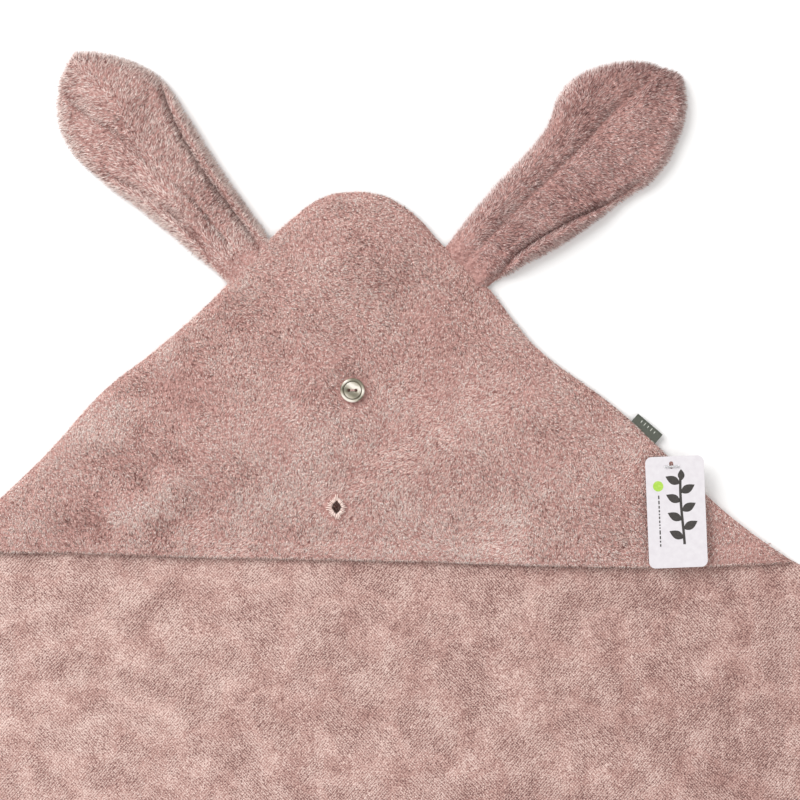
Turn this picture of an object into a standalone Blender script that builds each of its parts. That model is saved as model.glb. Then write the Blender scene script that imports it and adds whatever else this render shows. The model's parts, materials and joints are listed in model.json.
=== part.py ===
"""Hooded baby towel with two long ears, laid flat with the hood uppermost.

Metres, +Z up. +X is to the right, +Y runs from the middle of the towel to its
hooded corner. The origin is the middle of the towel on the surface it lies on.
"""

import math

import bmesh
import bpy
from mathutils import Matrix, Vector

MM = 0.001

# ---- cloth ---------------------------------------------------------------
TOWEL_SIDE = 900 * MM
LEFT_LEG_DEG = 43.1  # the two edges of the hooded corner, down from level
RIGHT_LEG_DEG = 40.8
CORNER_RADIUS = 42 * MM
TOWEL_THICK = 3.5 * MM
TOWEL_EDGE_ROUND = 1.0 * MM
TOWEL_COLOUR = (0.55, 0.35, 0.31)

HOOD_LEFT_LEG = 353 * MM
HOOD_RIGHT_LEG = 376 * MM
HOOD_THICK = 3.5 * MM
HOOD_RISE = 6.0 * MM  # how far the middle of the hood stands off the towel
HOOD_RISE_RUN = 90 * MM  # distance from a leg over which it rises
HOOD_ROWS = 22
HOOD_COLUMNS = 26
HOOD_COLOUR = (0.54, 0.36, 0.32)

# ---- sewing --------------------------------------------------------------
CLEAR = 0.3 * MM  # between pieces that touch
THREAD = 0.4 * MM  # diameter of the sewing thread
HEM_THREAD = 0.5 * MM
SEAM_INSET = 5 * MM  # leg seam to the turned edge
HEM_INSET = 12 * MM  # hem stitching to the edge
THREAD_COLOUR = (0.60, 0.40, 0.36)
LAYER_GAP = THREAD + 2 * CLEAR  # two layers with a thread between them

# ---- ears ----------------------------------------------------------------
EAR_LAYER = 3.0 * MM
EAR_EDGE_ROUND = 0.9 * MM
EAR_ROOT_GAP = 0.6 * MM
EAR_SEAM_INSET = 3.5 * MM
EAR_WIDEST_AT = 0.72  # share of the ear's length
EAR_PIVOT_ABOVE = 0.7 * MM  # the fold's axis over the ear's upper face
EAR_COLOUR = (0.50, 0.31, 0.28)
EARS = {
    "left": {"seat": 82 * MM, "length": 162 * MM, "root": 40 * MM, "width": 67 * MM, "lean": -2.5},
    "right": {"seat": 95 * MM, "length": 171 * MM, "root": 42 * MM, "width": 76 * MM, "lean": 6.0},
}

# ---- shell button and worked eyelet --------------------------------------
BUTTON_PLACE = (-10.8 * MM, 108.6 * MM)  # along the mouth from its middle, and up from it
BUTTON_RADIUS = 7.5 * MM
BUTTON_HEIGHT = 2.5 * MM
BUTTON_LIFT = 1.3 * MM  # length of the thread shank under it
BUTTON_HOLE_RADIUS = 1.0 * MM
BUTTON_HOLE_PITCH = 4.1 * MM
BUTTON_THREAD = 0.9 * MM
BUTTON_COLOUR = (0.50, 0.43, 0.35)

EYELET_PLACE = (-20.2 * MM, 36.4 * MM)
EYELET_OUTER = (8.0 * MM, 10.0 * MM)
EYELET_INNER = (3.4 * MM, 5.2 * MM)
EYELET_PROUD = 0.6 * MM
EYELET_ROUND = 0.5 * MM
EYELET_COLOUR = (0.66, 0.44, 0.40)

# ---- side label and hang tag ---------------------------------------------
LABEL_FROM_MOUTH = 132 * MM  # up the right leg
LABEL_LENGTH = 20 * MM
LABEL_PROUD = 6 * MM
LABEL_THICK = 0.8 * MM
LABEL_GAP = 0.6 * MM  # to the hood's edge, so that the label can stand up
LABEL_COLOUR = (0.08, 0.09, 0.07)

TAG_SIZE = (36 * MM, 68.5 * MM)
TAG_THICK = 0.5 * MM
TAG_CORNER = 4 * MM
TAG_TURN_DEG = 2.3
TAG_FROM_MOUTH = 106.4 * MM  # up the right leg to its fastener
TAG_INSET = 7.2 * MM
TAG_HOLE_RADIUS = 1.9 * MM
TAG_HOLE_FROM_TOP = 6.3 * MM
TAG_HOLE_FROM_LEFT = 16 * MM
TAG_UNDER = 14.7 * MM  # height of the card's underside, clear of the hem stitching
TAG_COLOUR = (0.82, 0.78, 0.84)

BAR_LENGTH = 9.3 * MM
BAR_DIAMETER = 1.2 * MM
STRAND_DIAMETER = 0.8 * MM
STRAND_HOLE_RADIUS = 0.9 * MM
FASTENER_COLOUR = (0.85, 0.86, 0.88)


# ---- places that follow from the sizes ------------------------------------
LEFT_LEG = Vector((-math.cos(math.radians(LEFT_LEG_DEG)), -math.sin(math.radians(LEFT_LEG_DEG)), 0))
RIGHT_LEG = Vector((math.cos(math.radians(RIGHT_LEG_DEG)), -math.sin(math.radians(RIGHT_LEG_DEG)), 0))
APEX = -0.5 * TOWEL_SIDE * (LEFT_LEG + RIGHT_LEG)
LEFT_OUT = Vector((LEFT_LEG.y, -LEFT_LEG.x, 0))
RIGHT_OUT = Vector((-RIGHT_LEG.y, RIGHT_LEG.x, 0))
LEGS = {
    "left": {"along": LEFT_LEG, "out": LEFT_OUT, "length": HOOD_LEFT_LEG},
    "right": {"along": RIGHT_LEG, "out": RIGHT_OUT, "length": HOOD_RIGHT_LEG},
}
MOUTH_LEFT = APEX + LEFT_LEG * HOOD_LEFT_LEG
MOUTH_RIGHT = APEX + RIGHT_LEG * HOOD_RIGHT_LEG
HOOD_UNDER = TOWEL_THICK + LAYER_GAP
SEAM_Z = TOWEL_THICK + 0.5 * LAYER_GAP
EAR_TOP = CLEAR + 2 * EAR_LAYER + LAYER_GAP
BAR_Z = TAG_UNDER + TAG_THICK + CLEAR + 0.5 * BAR_DIAMETER


def on_hood(place):
    """The point this far along the mouth from its middle, and this far up the hood from it."""
    along = (MOUTH_RIGHT - MOUTH_LEFT).normalized()
    up = Vector((-along.y, along.x, 0))
    point = 0.5 * (MOUTH_LEFT + MOUTH_RIGHT) + along * place[0] + up * place[1]
    return point.x, point.y


BUTTON_XY = on_hood(BUTTON_PLACE)
EYELET_XY = on_hood(EYELET_PLACE)
TAG_HOLE = MOUTH_RIGHT - RIGHT_LEG * TAG_FROM_MOUTH - RIGHT_OUT * TAG_INSET
TAG_HOLE_XY = (TAG_HOLE.x, TAG_HOLE.y)


def smooth(t):
    t = min(max(t, 0.0), 1.0)
    return t * t * (3 - 2 * t)


def inside(point, leg):
    """Distance of a point from a leg's edge line, positive on the towel."""
    return -(Vector((point[0], point[1], 0)) - APEX).dot(LEGS[leg]["out"])


def hood_under(x, y):
    """Height of the hood's underside, which stands off the towel in the middle."""
    left = smooth(inside((x, y), "left") / HOOD_RISE_RUN)
    right = smooth(inside((x, y), "right") / HOOD_RISE_RUN)
    return HOOD_UNDER + HOOD_RISE * left * right


def hood_top(x, y):
    return hood_under(x, y) + HOOD_THICK


# ---- small tools ----------------------------------------------------------
def material(name, colour, roughness, metallic=0.0):
    made = bpy.data.materials.new(name)
    made.use_nodes = True
    shader = made.node_tree.nodes["Principled BSDF"]
    shader.inputs["Base Color"].default_value = (*colour, 1)
    shader.inputs["Roughness"].default_value = roughness
    shader.inputs["Metallic"].default_value = metallic
    return made


def collection(name):
    made = bpy.data.collections.new(name)
    bpy.context.scene.collection.children.link(made)
    return made


def add(name, data, finish, where=None):
    made = bpy.data.objects.new(name, data)
    data.materials.append(finish)
    (where or TOWEL).objects.link(made)
    return made


def add_cutter(name, mesh):
    made = bpy.data.objects.new(name, mesh)
    made.hide_render = True
    made.display_type = "WIRE"
    CUTTERS.objects.link(made)
    return made


def cut(piece, cutter):
    modifier = piece.modifiers.new(cutter.name, "BOOLEAN")
    modifier.operation = "DIFFERENCE"
    modifier.solver = "EXACT"
    modifier.object = cutter


def rounded(corners, radius, steps=8):
    """The closed outline through these corners, each rounded by an arc."""
    outline = []
    for i, corner in enumerate(corners):
        before = (corners[i - 1] - corner).normalized()
        after = (corners[(i + 1) % len(corners)] - corner).normalized()
        half = 0.5 * before.angle(after)
        middle = corner + (before + after).normalized() * (radius / math.sin(half))
        start = corner + before * (radius / math.tan(half)) - middle
        end = corner + after * (radius / math.tan(half)) - middle
        swing = start.angle(end) * (1 if start.cross(end).z > 0 else -1)
        for k in range(steps + 1):
            outline.append(middle + Matrix.Rotation(swing * k / steps, 3, "Z") @ start)
    return outline


def plate(name, outlines, thick, edge_round, finish):
    """A flat piece of this outline, its underside at its own z = 0."""
    curve = bpy.data.curves.new(name, "CURVE")
    curve.dimensions = "2D"
    curve.fill_mode = "BOTH"
    curve.extrude = 0.5 * thick - edge_round
    curve.bevel_depth = edge_round
    curve.bevel_resolution = 1
    curve.offset = -edge_round
    for outline in outlines:
        spline = curve.splines.new("POLY")
        spline.points.add(len(outline) - 1)
        for point, place in zip(spline.points, outline):
            point.co = (place[0], place[1], 0, 1)
        spline.use_cyclic_u = True
    made = add(name, curve, finish)
    made.location.z = 0.5 * thick
    return made


def pivot(name, place):
    """An empty on a joint's axis, which the pieces that move on it hang from."""
    made = bpy.data.objects.new(name, None)
    made.location = place
    TOWEL.objects.link(made)
    return made


def hang(names, joint, carrier=None):
    """Parents these pieces to a joint's empty, and that to the one that carries it."""
    bpy.context.view_layer.update()
    if carrier:
        joint.parent = carrier
        joint.matrix_parent_inverse = carrier.matrix_world.inverted()
    for name in names:
        piece = bpy.data.objects[name]
        piece.parent = joint
        piece.matrix_parent_inverse = joint.matrix_world.inverted()


def thread(name, path, diameter, finish, closed=False):
    """A round thread or strand along these points."""
    curve = bpy.data.curves.new(name, "CURVE")
    curve.dimensions = "3D"
    curve.bevel_depth = 0.5 * diameter
    curve.bevel_resolution = 1
    curve.use_fill_caps = not closed
    spline = curve.splines.new("POLY")
    spline.points.add(len(path) - 1)
    for point, place in zip(spline.points, path):
        point.co = (*place, 1)
    spline.use_cyclic_u = closed
    return add(name, curve, finish)


def prism(name, outline, low, high):
    """A closed upright prism, for cutting holes."""
    mesh = bpy.data.meshes.new(name)
    shape = bmesh.new()
    base = [shape.verts.new((p[0], p[1], low)) for p in outline]
    face = shape.faces.new(base)
    raised = bmesh.ops.extrude_face_region(shape, geom=[face])["geom"]
    top = [v for v in raised if isinstance(v, bmesh.types.BMVert)]
    bmesh.ops.translate(shape, verts=top, vec=(0, 0, high - low))
    bmesh.ops.recalc_face_normals(shape, faces=shape.faces)
    shape.to_mesh(mesh)
    shape.free()
    return add_cutter(name, mesh)


def circle(centre, radius, count=16):
    turns = [2 * math.pi * k / count for k in range(count)]
    return [(centre[0] + radius * math.cos(a), centre[1] + radius * math.sin(a)) for a in turns]


def diamond(centre, size, count=24):
    """A diamond with soft corners, width by height."""
    outline = []
    for k in range(count):
        c, s = math.cos(2 * math.pi * k / count), math.sin(2 * math.pi * k / count)
        reach = (abs(c) ** 1.35 + abs(s) ** 1.35) ** (-1 / 1.35)
        outline.append((centre[0] + 0.5 * size[0] * reach * c, centre[1] + 0.5 * size[1] * reach * s))
    return outline


# ---- the towel and its corner ----------------------------------------------
def towel_body():
    corners = [APEX, APEX + TOWEL_SIDE * LEFT_LEG, -APEX, APEX + TOWEL_SIDE * RIGHT_LEG]
    plate("towel_body", [rounded(corners, CORNER_RADIUS)], TOWEL_THICK, TOWEL_EDGE_ROUND, CLOTH)


def towel_hem_thread():
    """Stitching of the turned hem, from one end of the hood's mouth round to the other."""
    corners = [APEX, APEX + TOWEL_SIDE * LEFT_LEG, -APEX, APEX + TOWEL_SIDE * RIGHT_LEG]
    inner = []
    for i, corner in enumerate(corners):
        before = (corners[i - 1] - corner).normalized()
        after = (corners[(i + 1) % 4] - corner).normalized()
        inner.append(corner + (before + after) * (HEM_INSET / math.sin(before.angle(after))))
    turned = rounded(inner, CORNER_RADIUS - HEM_INSET)
    start = inner[0] + LEFT_LEG * (HOOD_LEFT_LEG + HEM_INSET)
    end = inner[0] + RIGHT_LEG * (HOOD_RIGHT_LEG + HEM_INSET)
    corner_steps = len(turned) // 4
    path = [start, *turned[corner_steps:], end]
    height = TOWEL_THICK + CLEAR + 0.5 * HEM_THREAD
    thread("towel_hem_thread", [(p.x, p.y, height) for p in path], HEM_THREAD, THREAD_FINISH)


def hood_leg_path(leg, inset=0.0):
    """From the tip of the corner round its arc and down one leg to the mouth."""
    along, out = LEGS[leg]["along"], LEGS[leg]["out"]
    half = 0.5 * LEFT_LEG.angle(RIGHT_LEG)
    down = (LEFT_LEG + RIGHT_LEG).normalized()
    middle = APEX + down * (CORNER_RADIUS / math.sin(half))
    radius = CORNER_RADIUS - inset
    arc = [middle + radius * (-down).slerp(out, k / 6) for k in range(7)]
    end = APEX + along * LEGS[leg]["length"] - out * inset
    straight = [arc[-1].lerp(end, k / (HOOD_ROWS - 6)) for k in range(1, HOOD_ROWS - 5)]
    return arc + straight


def hood_panel():
    """The hood: a cloth panel, sewn down both legs and open along its mouth."""
    mesh = bpy.data.meshes.new("hood_panel")
    shape = bmesh.new()
    left, right = hood_leg_path("left"), hood_leg_path("right")
    tip = left[0]
    rows = [[shape.verts.new((tip.x, tip.y, hood_under(tip.x, tip.y)))]]
    for a, b in zip(left[1:], right[1:]):
        row = []
        for k in range(HOOD_COLUMNS + 1):
            p = a.lerp(b, k / HOOD_COLUMNS)
            row.append(shape.verts.new((p.x, p.y, hood_under(p.x, p.y))))
        rows.append(row)
    for k in range(HOOD_COLUMNS):
        shape.faces.new((rows[0][0], rows[1][k], rows[1][k + 1]))
    for upper, lower in zip(rows[1:], rows[2:]):
        for k in range(HOOD_COLUMNS):
            shape.faces.new((upper[k], lower[k], lower[k + 1], upper[k + 1]))
    shape.to_mesh(mesh)
    shape.free()
    panel = add("hood_panel", mesh, PLUSH)
    panel.location.z = 0
    shell = panel.modifiers.new("thickness", "SOLIDIFY")
    shell.thickness = HOOD_THICK
    shell.offset = 1
    low, high = TOWEL_THICK, HOOD_UNDER + HOOD_RISE + 2 * HOOD_THICK
    hole = tuple(s + 2 * CLEAR for s in EYELET_OUTER)
    cut(panel, prism("eyelet_cutter", diamond(EYELET_XY, hole), low, high))
    cut(panel, prism("strand_cutter", circle(TAG_HOLE_XY, STRAND_HOLE_RADIUS), low, high))


def hood_seams():
    """The thread of each turned leg seam, between the towel and the hood."""
    for leg in LEGS:
        path = hood_leg_path(leg, SEAM_INSET)
        half_gap = LEGS[leg]["along"] * CLEAR
        kept = [path[0] + half_gap, *path[1:7], path[-1]]
        points = [(p.x, p.y, SEAM_Z) for p in kept]
        thread(f"hood_seam_{leg}", points, THREAD, THREAD_FINISH)


def hood_hem_thread():
    """Stitching of the mouth's hem, following the rise of the hood."""
    left = APEX + LEFT_LEG * (HOOD_LEFT_LEG - HEM_INSET)
    right = APEX + RIGHT_LEG * (HOOD_RIGHT_LEG - HEM_INSET)
    ends = [left.lerp(right, 0.03), left.lerp(right, 0.97)]
    path = []
    for k in range(25):
        p = ends[0].lerp(ends[1], k / 24)
        path.append((p.x, p.y, hood_top(p.x, p.y) + CLEAR + 0.5 * HEM_THREAD))
    thread("hood_hem_thread", path, HEM_THREAD, THREAD_FINISH)


# ---- ears -------------------------------------------------------------------
def ear_outline(side, inset=0.0):
    """The ear's outline, root first, in the plane of the towel."""
    ear, leg = EARS[side], LEGS[side]
    root = APEX + leg["along"] * ear["seat"] + leg["out"] * EAR_ROOT_GAP
    lean = math.tan(math.radians(ear["lean"]))
    length = ear["length"] - 2 * inset
    half_root = 0.5 * ear["root"] - inset
    half_wide = 0.5 * ear["width"] - inset
    steps = 22
    sides = {1: [], -1: []}
    for k in range(steps + 1):
        t = math.sin(0.5 * math.pi * k / steps)
        half = half_root + (half_wide - half_root) * smooth(t / EAR_WIDEST_AT)
        past = max(0.0, (t - EAR_WIDEST_AT) / (1 - EAR_WIDEST_AT))
        half *= math.sqrt(max(0.0, 1 - past**2.3))
        out = inset + t * length
        for way, points in sides.items():
            points.append(root + leg["out"] * out + leg["along"] * (lean * out + way * half))
    outline = sides[1] + sides[-1][-2::-1]
    return outline if side == "right" else outline[::-1]


def ears():
    for side in EARS:
        outline = ear_outline(side)
        plate(f"ear_{side}_back", [outline], EAR_LAYER, EAR_EDGE_ROUND, PLUSH_EAR).location.z += CLEAR
        front = plate(f"ear_{side}_front", [outline], EAR_LAYER, EAR_EDGE_ROUND, PLUSH_EAR)
        front.location.z += CLEAR + EAR_LAYER + LAYER_GAP
        height = CLEAR + EAR_LAYER + 0.5 * LAYER_GAP
        path = [(p.x, p.y, height) for p in ear_outline(side, EAR_SEAM_INSET)]
        thread(f"ear_{side}_seam", path, THREAD, THREAD_FINISH, closed=True)


# ---- button and eyelet --------------------------------------------------------
def shell_button():
    """A turned shell button: a raised rim, a fine groove inside it and a dished middle."""
    r, h = BUTTON_RADIUS, BUTTON_HEIGHT
    profile = [
        (0, 0.64 * h), (0.58 * r, 0.68 * h), (0.68 * r, 0.80 * h), (0.76 * r, 0.66 * h),
        (0.84 * r, 0.94 * h), (0.90 * r, h), (0.96 * r, 0.92 * h), (r, 0.70 * h),
        (r, 0.40 * h), (0.93 * r, 0.10 * h), (0.80 * r, 0), (0, 0),
    ]
    mesh = bpy.data.meshes.new("shell_button")
    edges = [(k, k + 1) for k in range(len(profile) - 1)]
    mesh.from_pydata([(x, 0, z) for x, z in profile], edges, [])
    button = add("shell_button", mesh, SHELL)
    x, y = BUTTON_XY
    button.location = (x, y, hood_top(x, y) + BUTTON_LIFT)
    turn = button.modifiers.new("turn", "SCREW")
    turn.steps = turn.render_steps = 40
    turn.use_merge_vertices = True
    turn.merge_threshold = 0.00001
    turn.use_smooth_shade = True
    for way in (-1, 1):
        centre = (x + way * 0.5 * BUTTON_HOLE_PITCH, y)
        low = button.location.z - h
        hole = prism(f"button_hole_{way}", circle(centre, BUTTON_HOLE_RADIUS), low, low + 3 * h)
        cut(button, hole)


def button_thread():
    """The thread that holds the button, up one hole and down the other."""
    x, y = BUTTON_XY
    half = 0.5 * BUTTON_HOLE_PITCH
    foot = hood_top(x, y) + CLEAR
    crown = hood_top(x, y) + BUTTON_LIFT + 0.68 * BUTTON_HEIGHT + CLEAR + 0.5 * BUTTON_THREAD
    bend = 0.4 * half
    path = [(x - half, y, foot), (x - half, y, crown - bend)]
    for k in range(1, 5):
        a = 0.5 * math.pi * k / 4
        path.append((x - half + bend * (1 - math.cos(a)), y, crown - bend + bend * math.sin(a)))
    path += [(2 * x - px, y, pz) for px, _, pz in reversed(path)]
    thread("button_thread", path, BUTTON_THREAD, THREAD_FINISH)


def eyelet_thread():
    """The worked eyelet: thread wrapped round the edge of the hole in the hood."""
    x, y = EYELET_XY
    ring = [diamond(EYELET_XY, EYELET_OUTER), diamond(EYELET_XY, EYELET_INNER)]
    thick = HOOD_THICK + 2 * EYELET_PROUD
    made = plate("eyelet_thread", ring, thick, EYELET_ROUND, EYELET_FINISH)
    made.location.z += hood_under(x, y) - EYELET_PROUD


# ---- label and tag --------------------------------------------------------------
def label_root():
    return MOUTH_RIGHT - RIGHT_LEG * LABEL_FROM_MOUTH + RIGHT_OUT * LABEL_GAP


def side_label():
    """The folded woven label that stands out of the right leg seam."""
    root = label_root()
    half = RIGHT_LEG * (0.5 * LABEL_LENGTH)
    tip = RIGHT_OUT * LABEL_PROUD
    outline = [root - half, root + half, root + half + tip, root - half + tip]
    label = plate("side_label", [outline], LABEL_THICK, 0.3 * LABEL_THICK, WOVEN)
    label.location.z = SEAM_Z


def hang_tag():
    """The card tag, which lies on the hood and can swing on its fastener."""
    left, top = -TAG_HOLE_FROM_LEFT, TAG_HOLE_FROM_TOP
    corners = [(left, top), (left, top - TAG_SIZE[1])]
    corners += [(left + TAG_SIZE[0], y) for _, y in reversed(corners)]
    edge = rounded([Vector((x, y, 0)) for x, y in corners], TAG_CORNER, 5)
    hole = circle((0, 0), TAG_HOLE_RADIUS)
    tag = plate("hang_tag", [edge, hole], TAG_THICK, 0.12 * TAG_THICK, CARD)
    tag.location = (*TAG_HOLE_XY, TAG_UNDER + 0.5 * TAG_THICK)
    tag.rotation_euler.z = math.radians(TAG_TURN_DEG)


def tag_fastener():
    """The clear nylon fastener: a strand out of the hood's seam and its cross bar."""
    x, y = TAG_HOLE_XY
    turn = math.radians(TAG_TURN_DEG)
    half = 0.5 * BAR_LENGTH * Vector((math.cos(turn), math.sin(turn), 0))
    centre = Vector((x, y, BAR_Z))
    bar = mesh_copy(thread("tag_bar", [centre - half, centre + half], BAR_DIAMETER, NYLON))
    foot = HOOD_UNDER
    strand = mesh_copy(thread("tag_fastener", [(x, y, foot), (x, y, BAR_Z)], STRAND_DIAMETER, NYLON))
    join = strand.modifiers.new("bar", "BOOLEAN")
    join.operation = "UNION"
    join.solver = "EXACT"
    join.object = bar
    TOWEL.objects.unlink(bar)
    CUTTERS.objects.link(bar)
    bar.hide_render = True
    bar.display_type = "WIRE"


def mesh_copy(curve_object):
    """The same solid as a mesh, with its end caps joined on, so that it can be cut or joined."""
    bpy.context.view_layer.update()
    seen = curve_object.evaluated_get(bpy.context.evaluated_depsgraph_get())
    mesh = bpy.data.meshes.new_from_object(seen)
    shape = bmesh.new()
    shape.from_mesh(mesh)
    bmesh.ops.remove_doubles(shape, verts=shape.verts, dist=0.000001)
    bmesh.ops.recalc_face_normals(shape, faces=shape.faces)
    shape.to_mesh(mesh)
    shape.free()
    name, finish = curve_object.name, curve_object.data.materials[0]
    place = curve_object.matrix_world.copy()
    bpy.data.objects.remove(curve_object)
    mesh.materials.clear()
    made = add(name, mesh, finish)
    made.matrix_world = place
    return made


# ---- what moves ---------------------------------------------------------------
def joints():
    tip = hood_leg_path("left")[0]
    hood = pivot("hood_opening", (tip.x, tip.y, HOOD_UNDER))
    hang(["hood_panel", "hood_hem_thread", "eyelet_thread", "button_thread"], hood)
    for side, ear in EARS.items():
        place = APEX + LEGS[side]["along"] * ear["seat"]
        fold = pivot(f"ear_{side}_fold", (place.x, place.y, EAR_TOP + EAR_PIVOT_ABOVE))
        hang([f"ear_{side}_{layer}" for layer in ("front", "back", "seam")], fold)
    shank = hood_top(*BUTTON_XY) + 0.5 * BUTTON_LIFT
    hang(["shell_button"], pivot("button_tilt", (*BUTTON_XY, shank)), hood)
    hang(["side_label"], pivot("label_flip", label_root() + Vector((0, 0, SEAM_Z))))
    swing = pivot("tag_swing", (*TAG_HOLE_XY, BAR_Z))
    hang(["tag_fastener"], swing, hood)
    hang(["hang_tag"], pivot("tag_lift", (*TAG_HOLE_XY, BAR_Z)), swing)


for old in list(bpy.data.objects):
    bpy.data.objects.remove(old)
TOWEL = collection("hooded_baby_towel")
CUTTERS = collection("cutters")
CLOTH = material("terry cloth", TOWEL_COLOUR, 0.95)
PLUSH = material("plush terry", HOOD_COLOUR, 0.95)
PLUSH_EAR = material("plush terry of the ears", EAR_COLOUR, 0.95)
THREAD_FINISH = material("sewing thread", THREAD_COLOUR, 0.7)
EYELET_FINISH = material("eyelet thread", EYELET_COLOUR, 0.7)
SHELL = material("shell", BUTTON_COLOUR, 0.25)
WOVEN = material("woven label", LABEL_COLOUR, 0.8)
CARD = material("white card", TAG_COLOUR, 0.5)
NYLON = material("clear nylon", FASTENER_COLOUR, 0.3)

towel_body()
towel_hem_thread()
hood_panel()
hood_seams()
hood_hem_thread()
ears()
shell_button()
button_thread()
eyelet_thread()
side_label()
hang_tag()
tag_fastener()
joints()
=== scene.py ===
import json
import math

import bmesh
import bpy
import numpy as np
from mathutils import Matrix, Vector


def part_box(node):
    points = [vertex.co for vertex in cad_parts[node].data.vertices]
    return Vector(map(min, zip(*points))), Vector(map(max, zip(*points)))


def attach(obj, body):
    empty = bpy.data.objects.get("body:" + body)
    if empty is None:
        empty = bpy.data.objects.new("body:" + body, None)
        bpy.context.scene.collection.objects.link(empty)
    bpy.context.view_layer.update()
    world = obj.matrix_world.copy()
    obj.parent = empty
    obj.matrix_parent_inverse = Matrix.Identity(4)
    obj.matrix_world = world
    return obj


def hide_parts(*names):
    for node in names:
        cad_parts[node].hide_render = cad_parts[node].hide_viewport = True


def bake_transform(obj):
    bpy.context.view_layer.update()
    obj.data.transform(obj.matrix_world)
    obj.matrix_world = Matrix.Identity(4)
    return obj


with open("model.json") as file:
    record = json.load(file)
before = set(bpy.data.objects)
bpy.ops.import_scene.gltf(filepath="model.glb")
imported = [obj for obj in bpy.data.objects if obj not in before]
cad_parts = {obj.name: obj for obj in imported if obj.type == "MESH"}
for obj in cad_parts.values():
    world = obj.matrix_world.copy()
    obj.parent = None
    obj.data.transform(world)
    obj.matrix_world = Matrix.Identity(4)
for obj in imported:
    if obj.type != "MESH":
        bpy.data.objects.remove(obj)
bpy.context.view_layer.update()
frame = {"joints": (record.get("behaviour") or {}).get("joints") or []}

for stray in ("Cube", "Camera", "Light"):
    if stray in bpy.data.objects:
        bpy.data.objects.remove(bpy.data.objects[stray])

MM = 0.001

# ---- where the towel's pieces are, from the frame ----------------------------
JOINT = {joint["name"]: joint for joint in frame["joints"]}
LEFT_LEG = Vector(JOINT["ear_left_fold"]["axis"])
RIGHT_LEG = -Vector(JOINT["ear_right_fold"]["axis"])
LEFT_OUT = Vector((LEFT_LEG.y, -LEFT_LEG.x, 0))
RIGHT_OUT = Vector((-RIGHT_LEG.y, RIGHT_LEG.x, 0))
LEFT_SEAT = Vector(JOINT["ear_left_fold"]["pos_m"])
RIGHT_SEAT = Vector(JOINT["ear_right_fold"]["pos_m"])
# The corner's point is where the lines of the two ear folds cross.
LEFT_SEAT_RUN = (RIGHT_SEAT - LEFT_SEAT).cross(RIGHT_LEG).z / LEFT_LEG.cross(RIGHT_LEG).z
APEX = LEFT_SEAT + LEFT_LEG * LEFT_SEAT_RUN
APEX.z = 0
TOWEL_SIDE = 2 * APEX.length / (LEFT_LEG + RIGHT_LEG).length
DOWN = (LEFT_LEG + RIGHT_LEG).normalized()
HALF_CORNER = 0.5 * LEFT_LEG.angle(RIGHT_LEG)
LEGS = {"left": (LEFT_LEG, LEFT_OUT), "right": (RIGHT_LEG, RIGHT_OUT)}
SEATS = {"left": LEFT_SEAT, "right": RIGHT_SEAT}  # where each ear is sewn in

TOWEL_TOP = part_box("towel_body")[1].z
HOOD_LOW, HOOD_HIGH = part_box("hood_panel")
MOUTH_LEFT = APEX + LEFT_LEG * ((HOOD_LOW.x - APEX.x) / LEFT_LEG.x)
MOUTH_RIGHT = APEX + RIGHT_LEG * ((HOOD_HIGH.x - APEX.x) / RIGHT_LEG.x)
MOUTH_ENDS = {"left": MOUTH_LEFT, "right": MOUTH_RIGHT}
MOUTH_RUN = {side: (MOUTH_ENDS[side] - APEX).length for side in LEGS}  # down each leg, from the tip
HOOD_THICK = 3.5 * MM
HOOD_EDGE_TOP = HOOD_LOW.z + HOOD_THICK
HOOD_RISE = HOOD_HIGH.z - HOOD_EDGE_TOP
HOOD_RISE_RUN = 90 * MM  # how far in from its sewn legs the hood goes on rising
CORNER_RADIUS = 42 * MM  # of the square's rounded corners
HEM = 12 * MM  # width of a turned hem
HEM_PITCH = 3.2 * MM  # one lockstitch

BUTTON = Vector(JOINT["button_tilt"]["pos_m"])
BUTTON_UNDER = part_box("shell_button")[0].z
EYELET = 0.5 * (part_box("eyelet_thread")[0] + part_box("eyelet_thread")[1])
FASTENER = Vector(JOINT["tag_swing"]["pos_m"])


# ---- numbers ------------------------------------------------------------------
def smooth(t):
    """Eases from 0 to 1 while t goes from 0 to 1."""
    t = np.clip(t, 0.0, 1.0)
    return t * t * (3 - 2 * t)


def drift(x, y, size, seed):
    """Soft random field from -1 to 1 that wanders over this many metres."""
    cells = 64
    table = np.random.default_rng(seed).uniform(-1, 1, (cells, cells))
    # The start within the table is any place away from its edges.
    gx, gy = np.asarray(x) / size + 17.3, np.asarray(y) / size + 5.7
    ix, iy = np.floor(gx).astype(int), np.floor(gy).astype(int)
    fx, fy = smooth(gx - ix), smooth(gy - iy)
    near_x, far_x = ix % cells, (ix + 1) % cells
    near_y, far_y = iy % cells, (iy + 1) % cells
    lower = table[near_x, near_y] * (1 - fx) + table[far_x, near_y] * fx
    upper = table[near_x, far_y] * (1 - fx) + table[far_x, far_y] * fx
    return lower * (1 - fy) + upper * fy


def flat(vector):
    """A place or direction seen from above."""
    return np.array((vector[0], vector[1]))


def inside(points, side):
    """Distance from a leg of the hood, positive on the towel."""
    return -(points - flat(APEX)) @ flat(LEGS[side][1])


def unit(rows):
    """Each row made one long."""
    return rows / np.linalg.norm(rows, axis=1)[:, None]


def gauss(x):
    """A smooth bump: 1 at nought, almost nothing at 2."""
    return np.exp(-(x**2))


def rolled(distance, radius):
    """The rounded edge of folded cloth: 0 at the edge, 1 from radius inwards."""
    return np.sqrt(np.maximum(0.0, 1 - (1 - np.clip(distance / radius, 0, 1)) ** 2))


def from_hex(code):
    """An sRGB hex colour as linear RGBA."""
    parts = [int(code[k : k + 2], 16) / 255 for k in (0, 2, 4)]
    return (*[c / 12.92 if c <= 0.04045 else ((c + 0.055) / 1.055) ** 2.4 for c in parts], 1.0)


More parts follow.
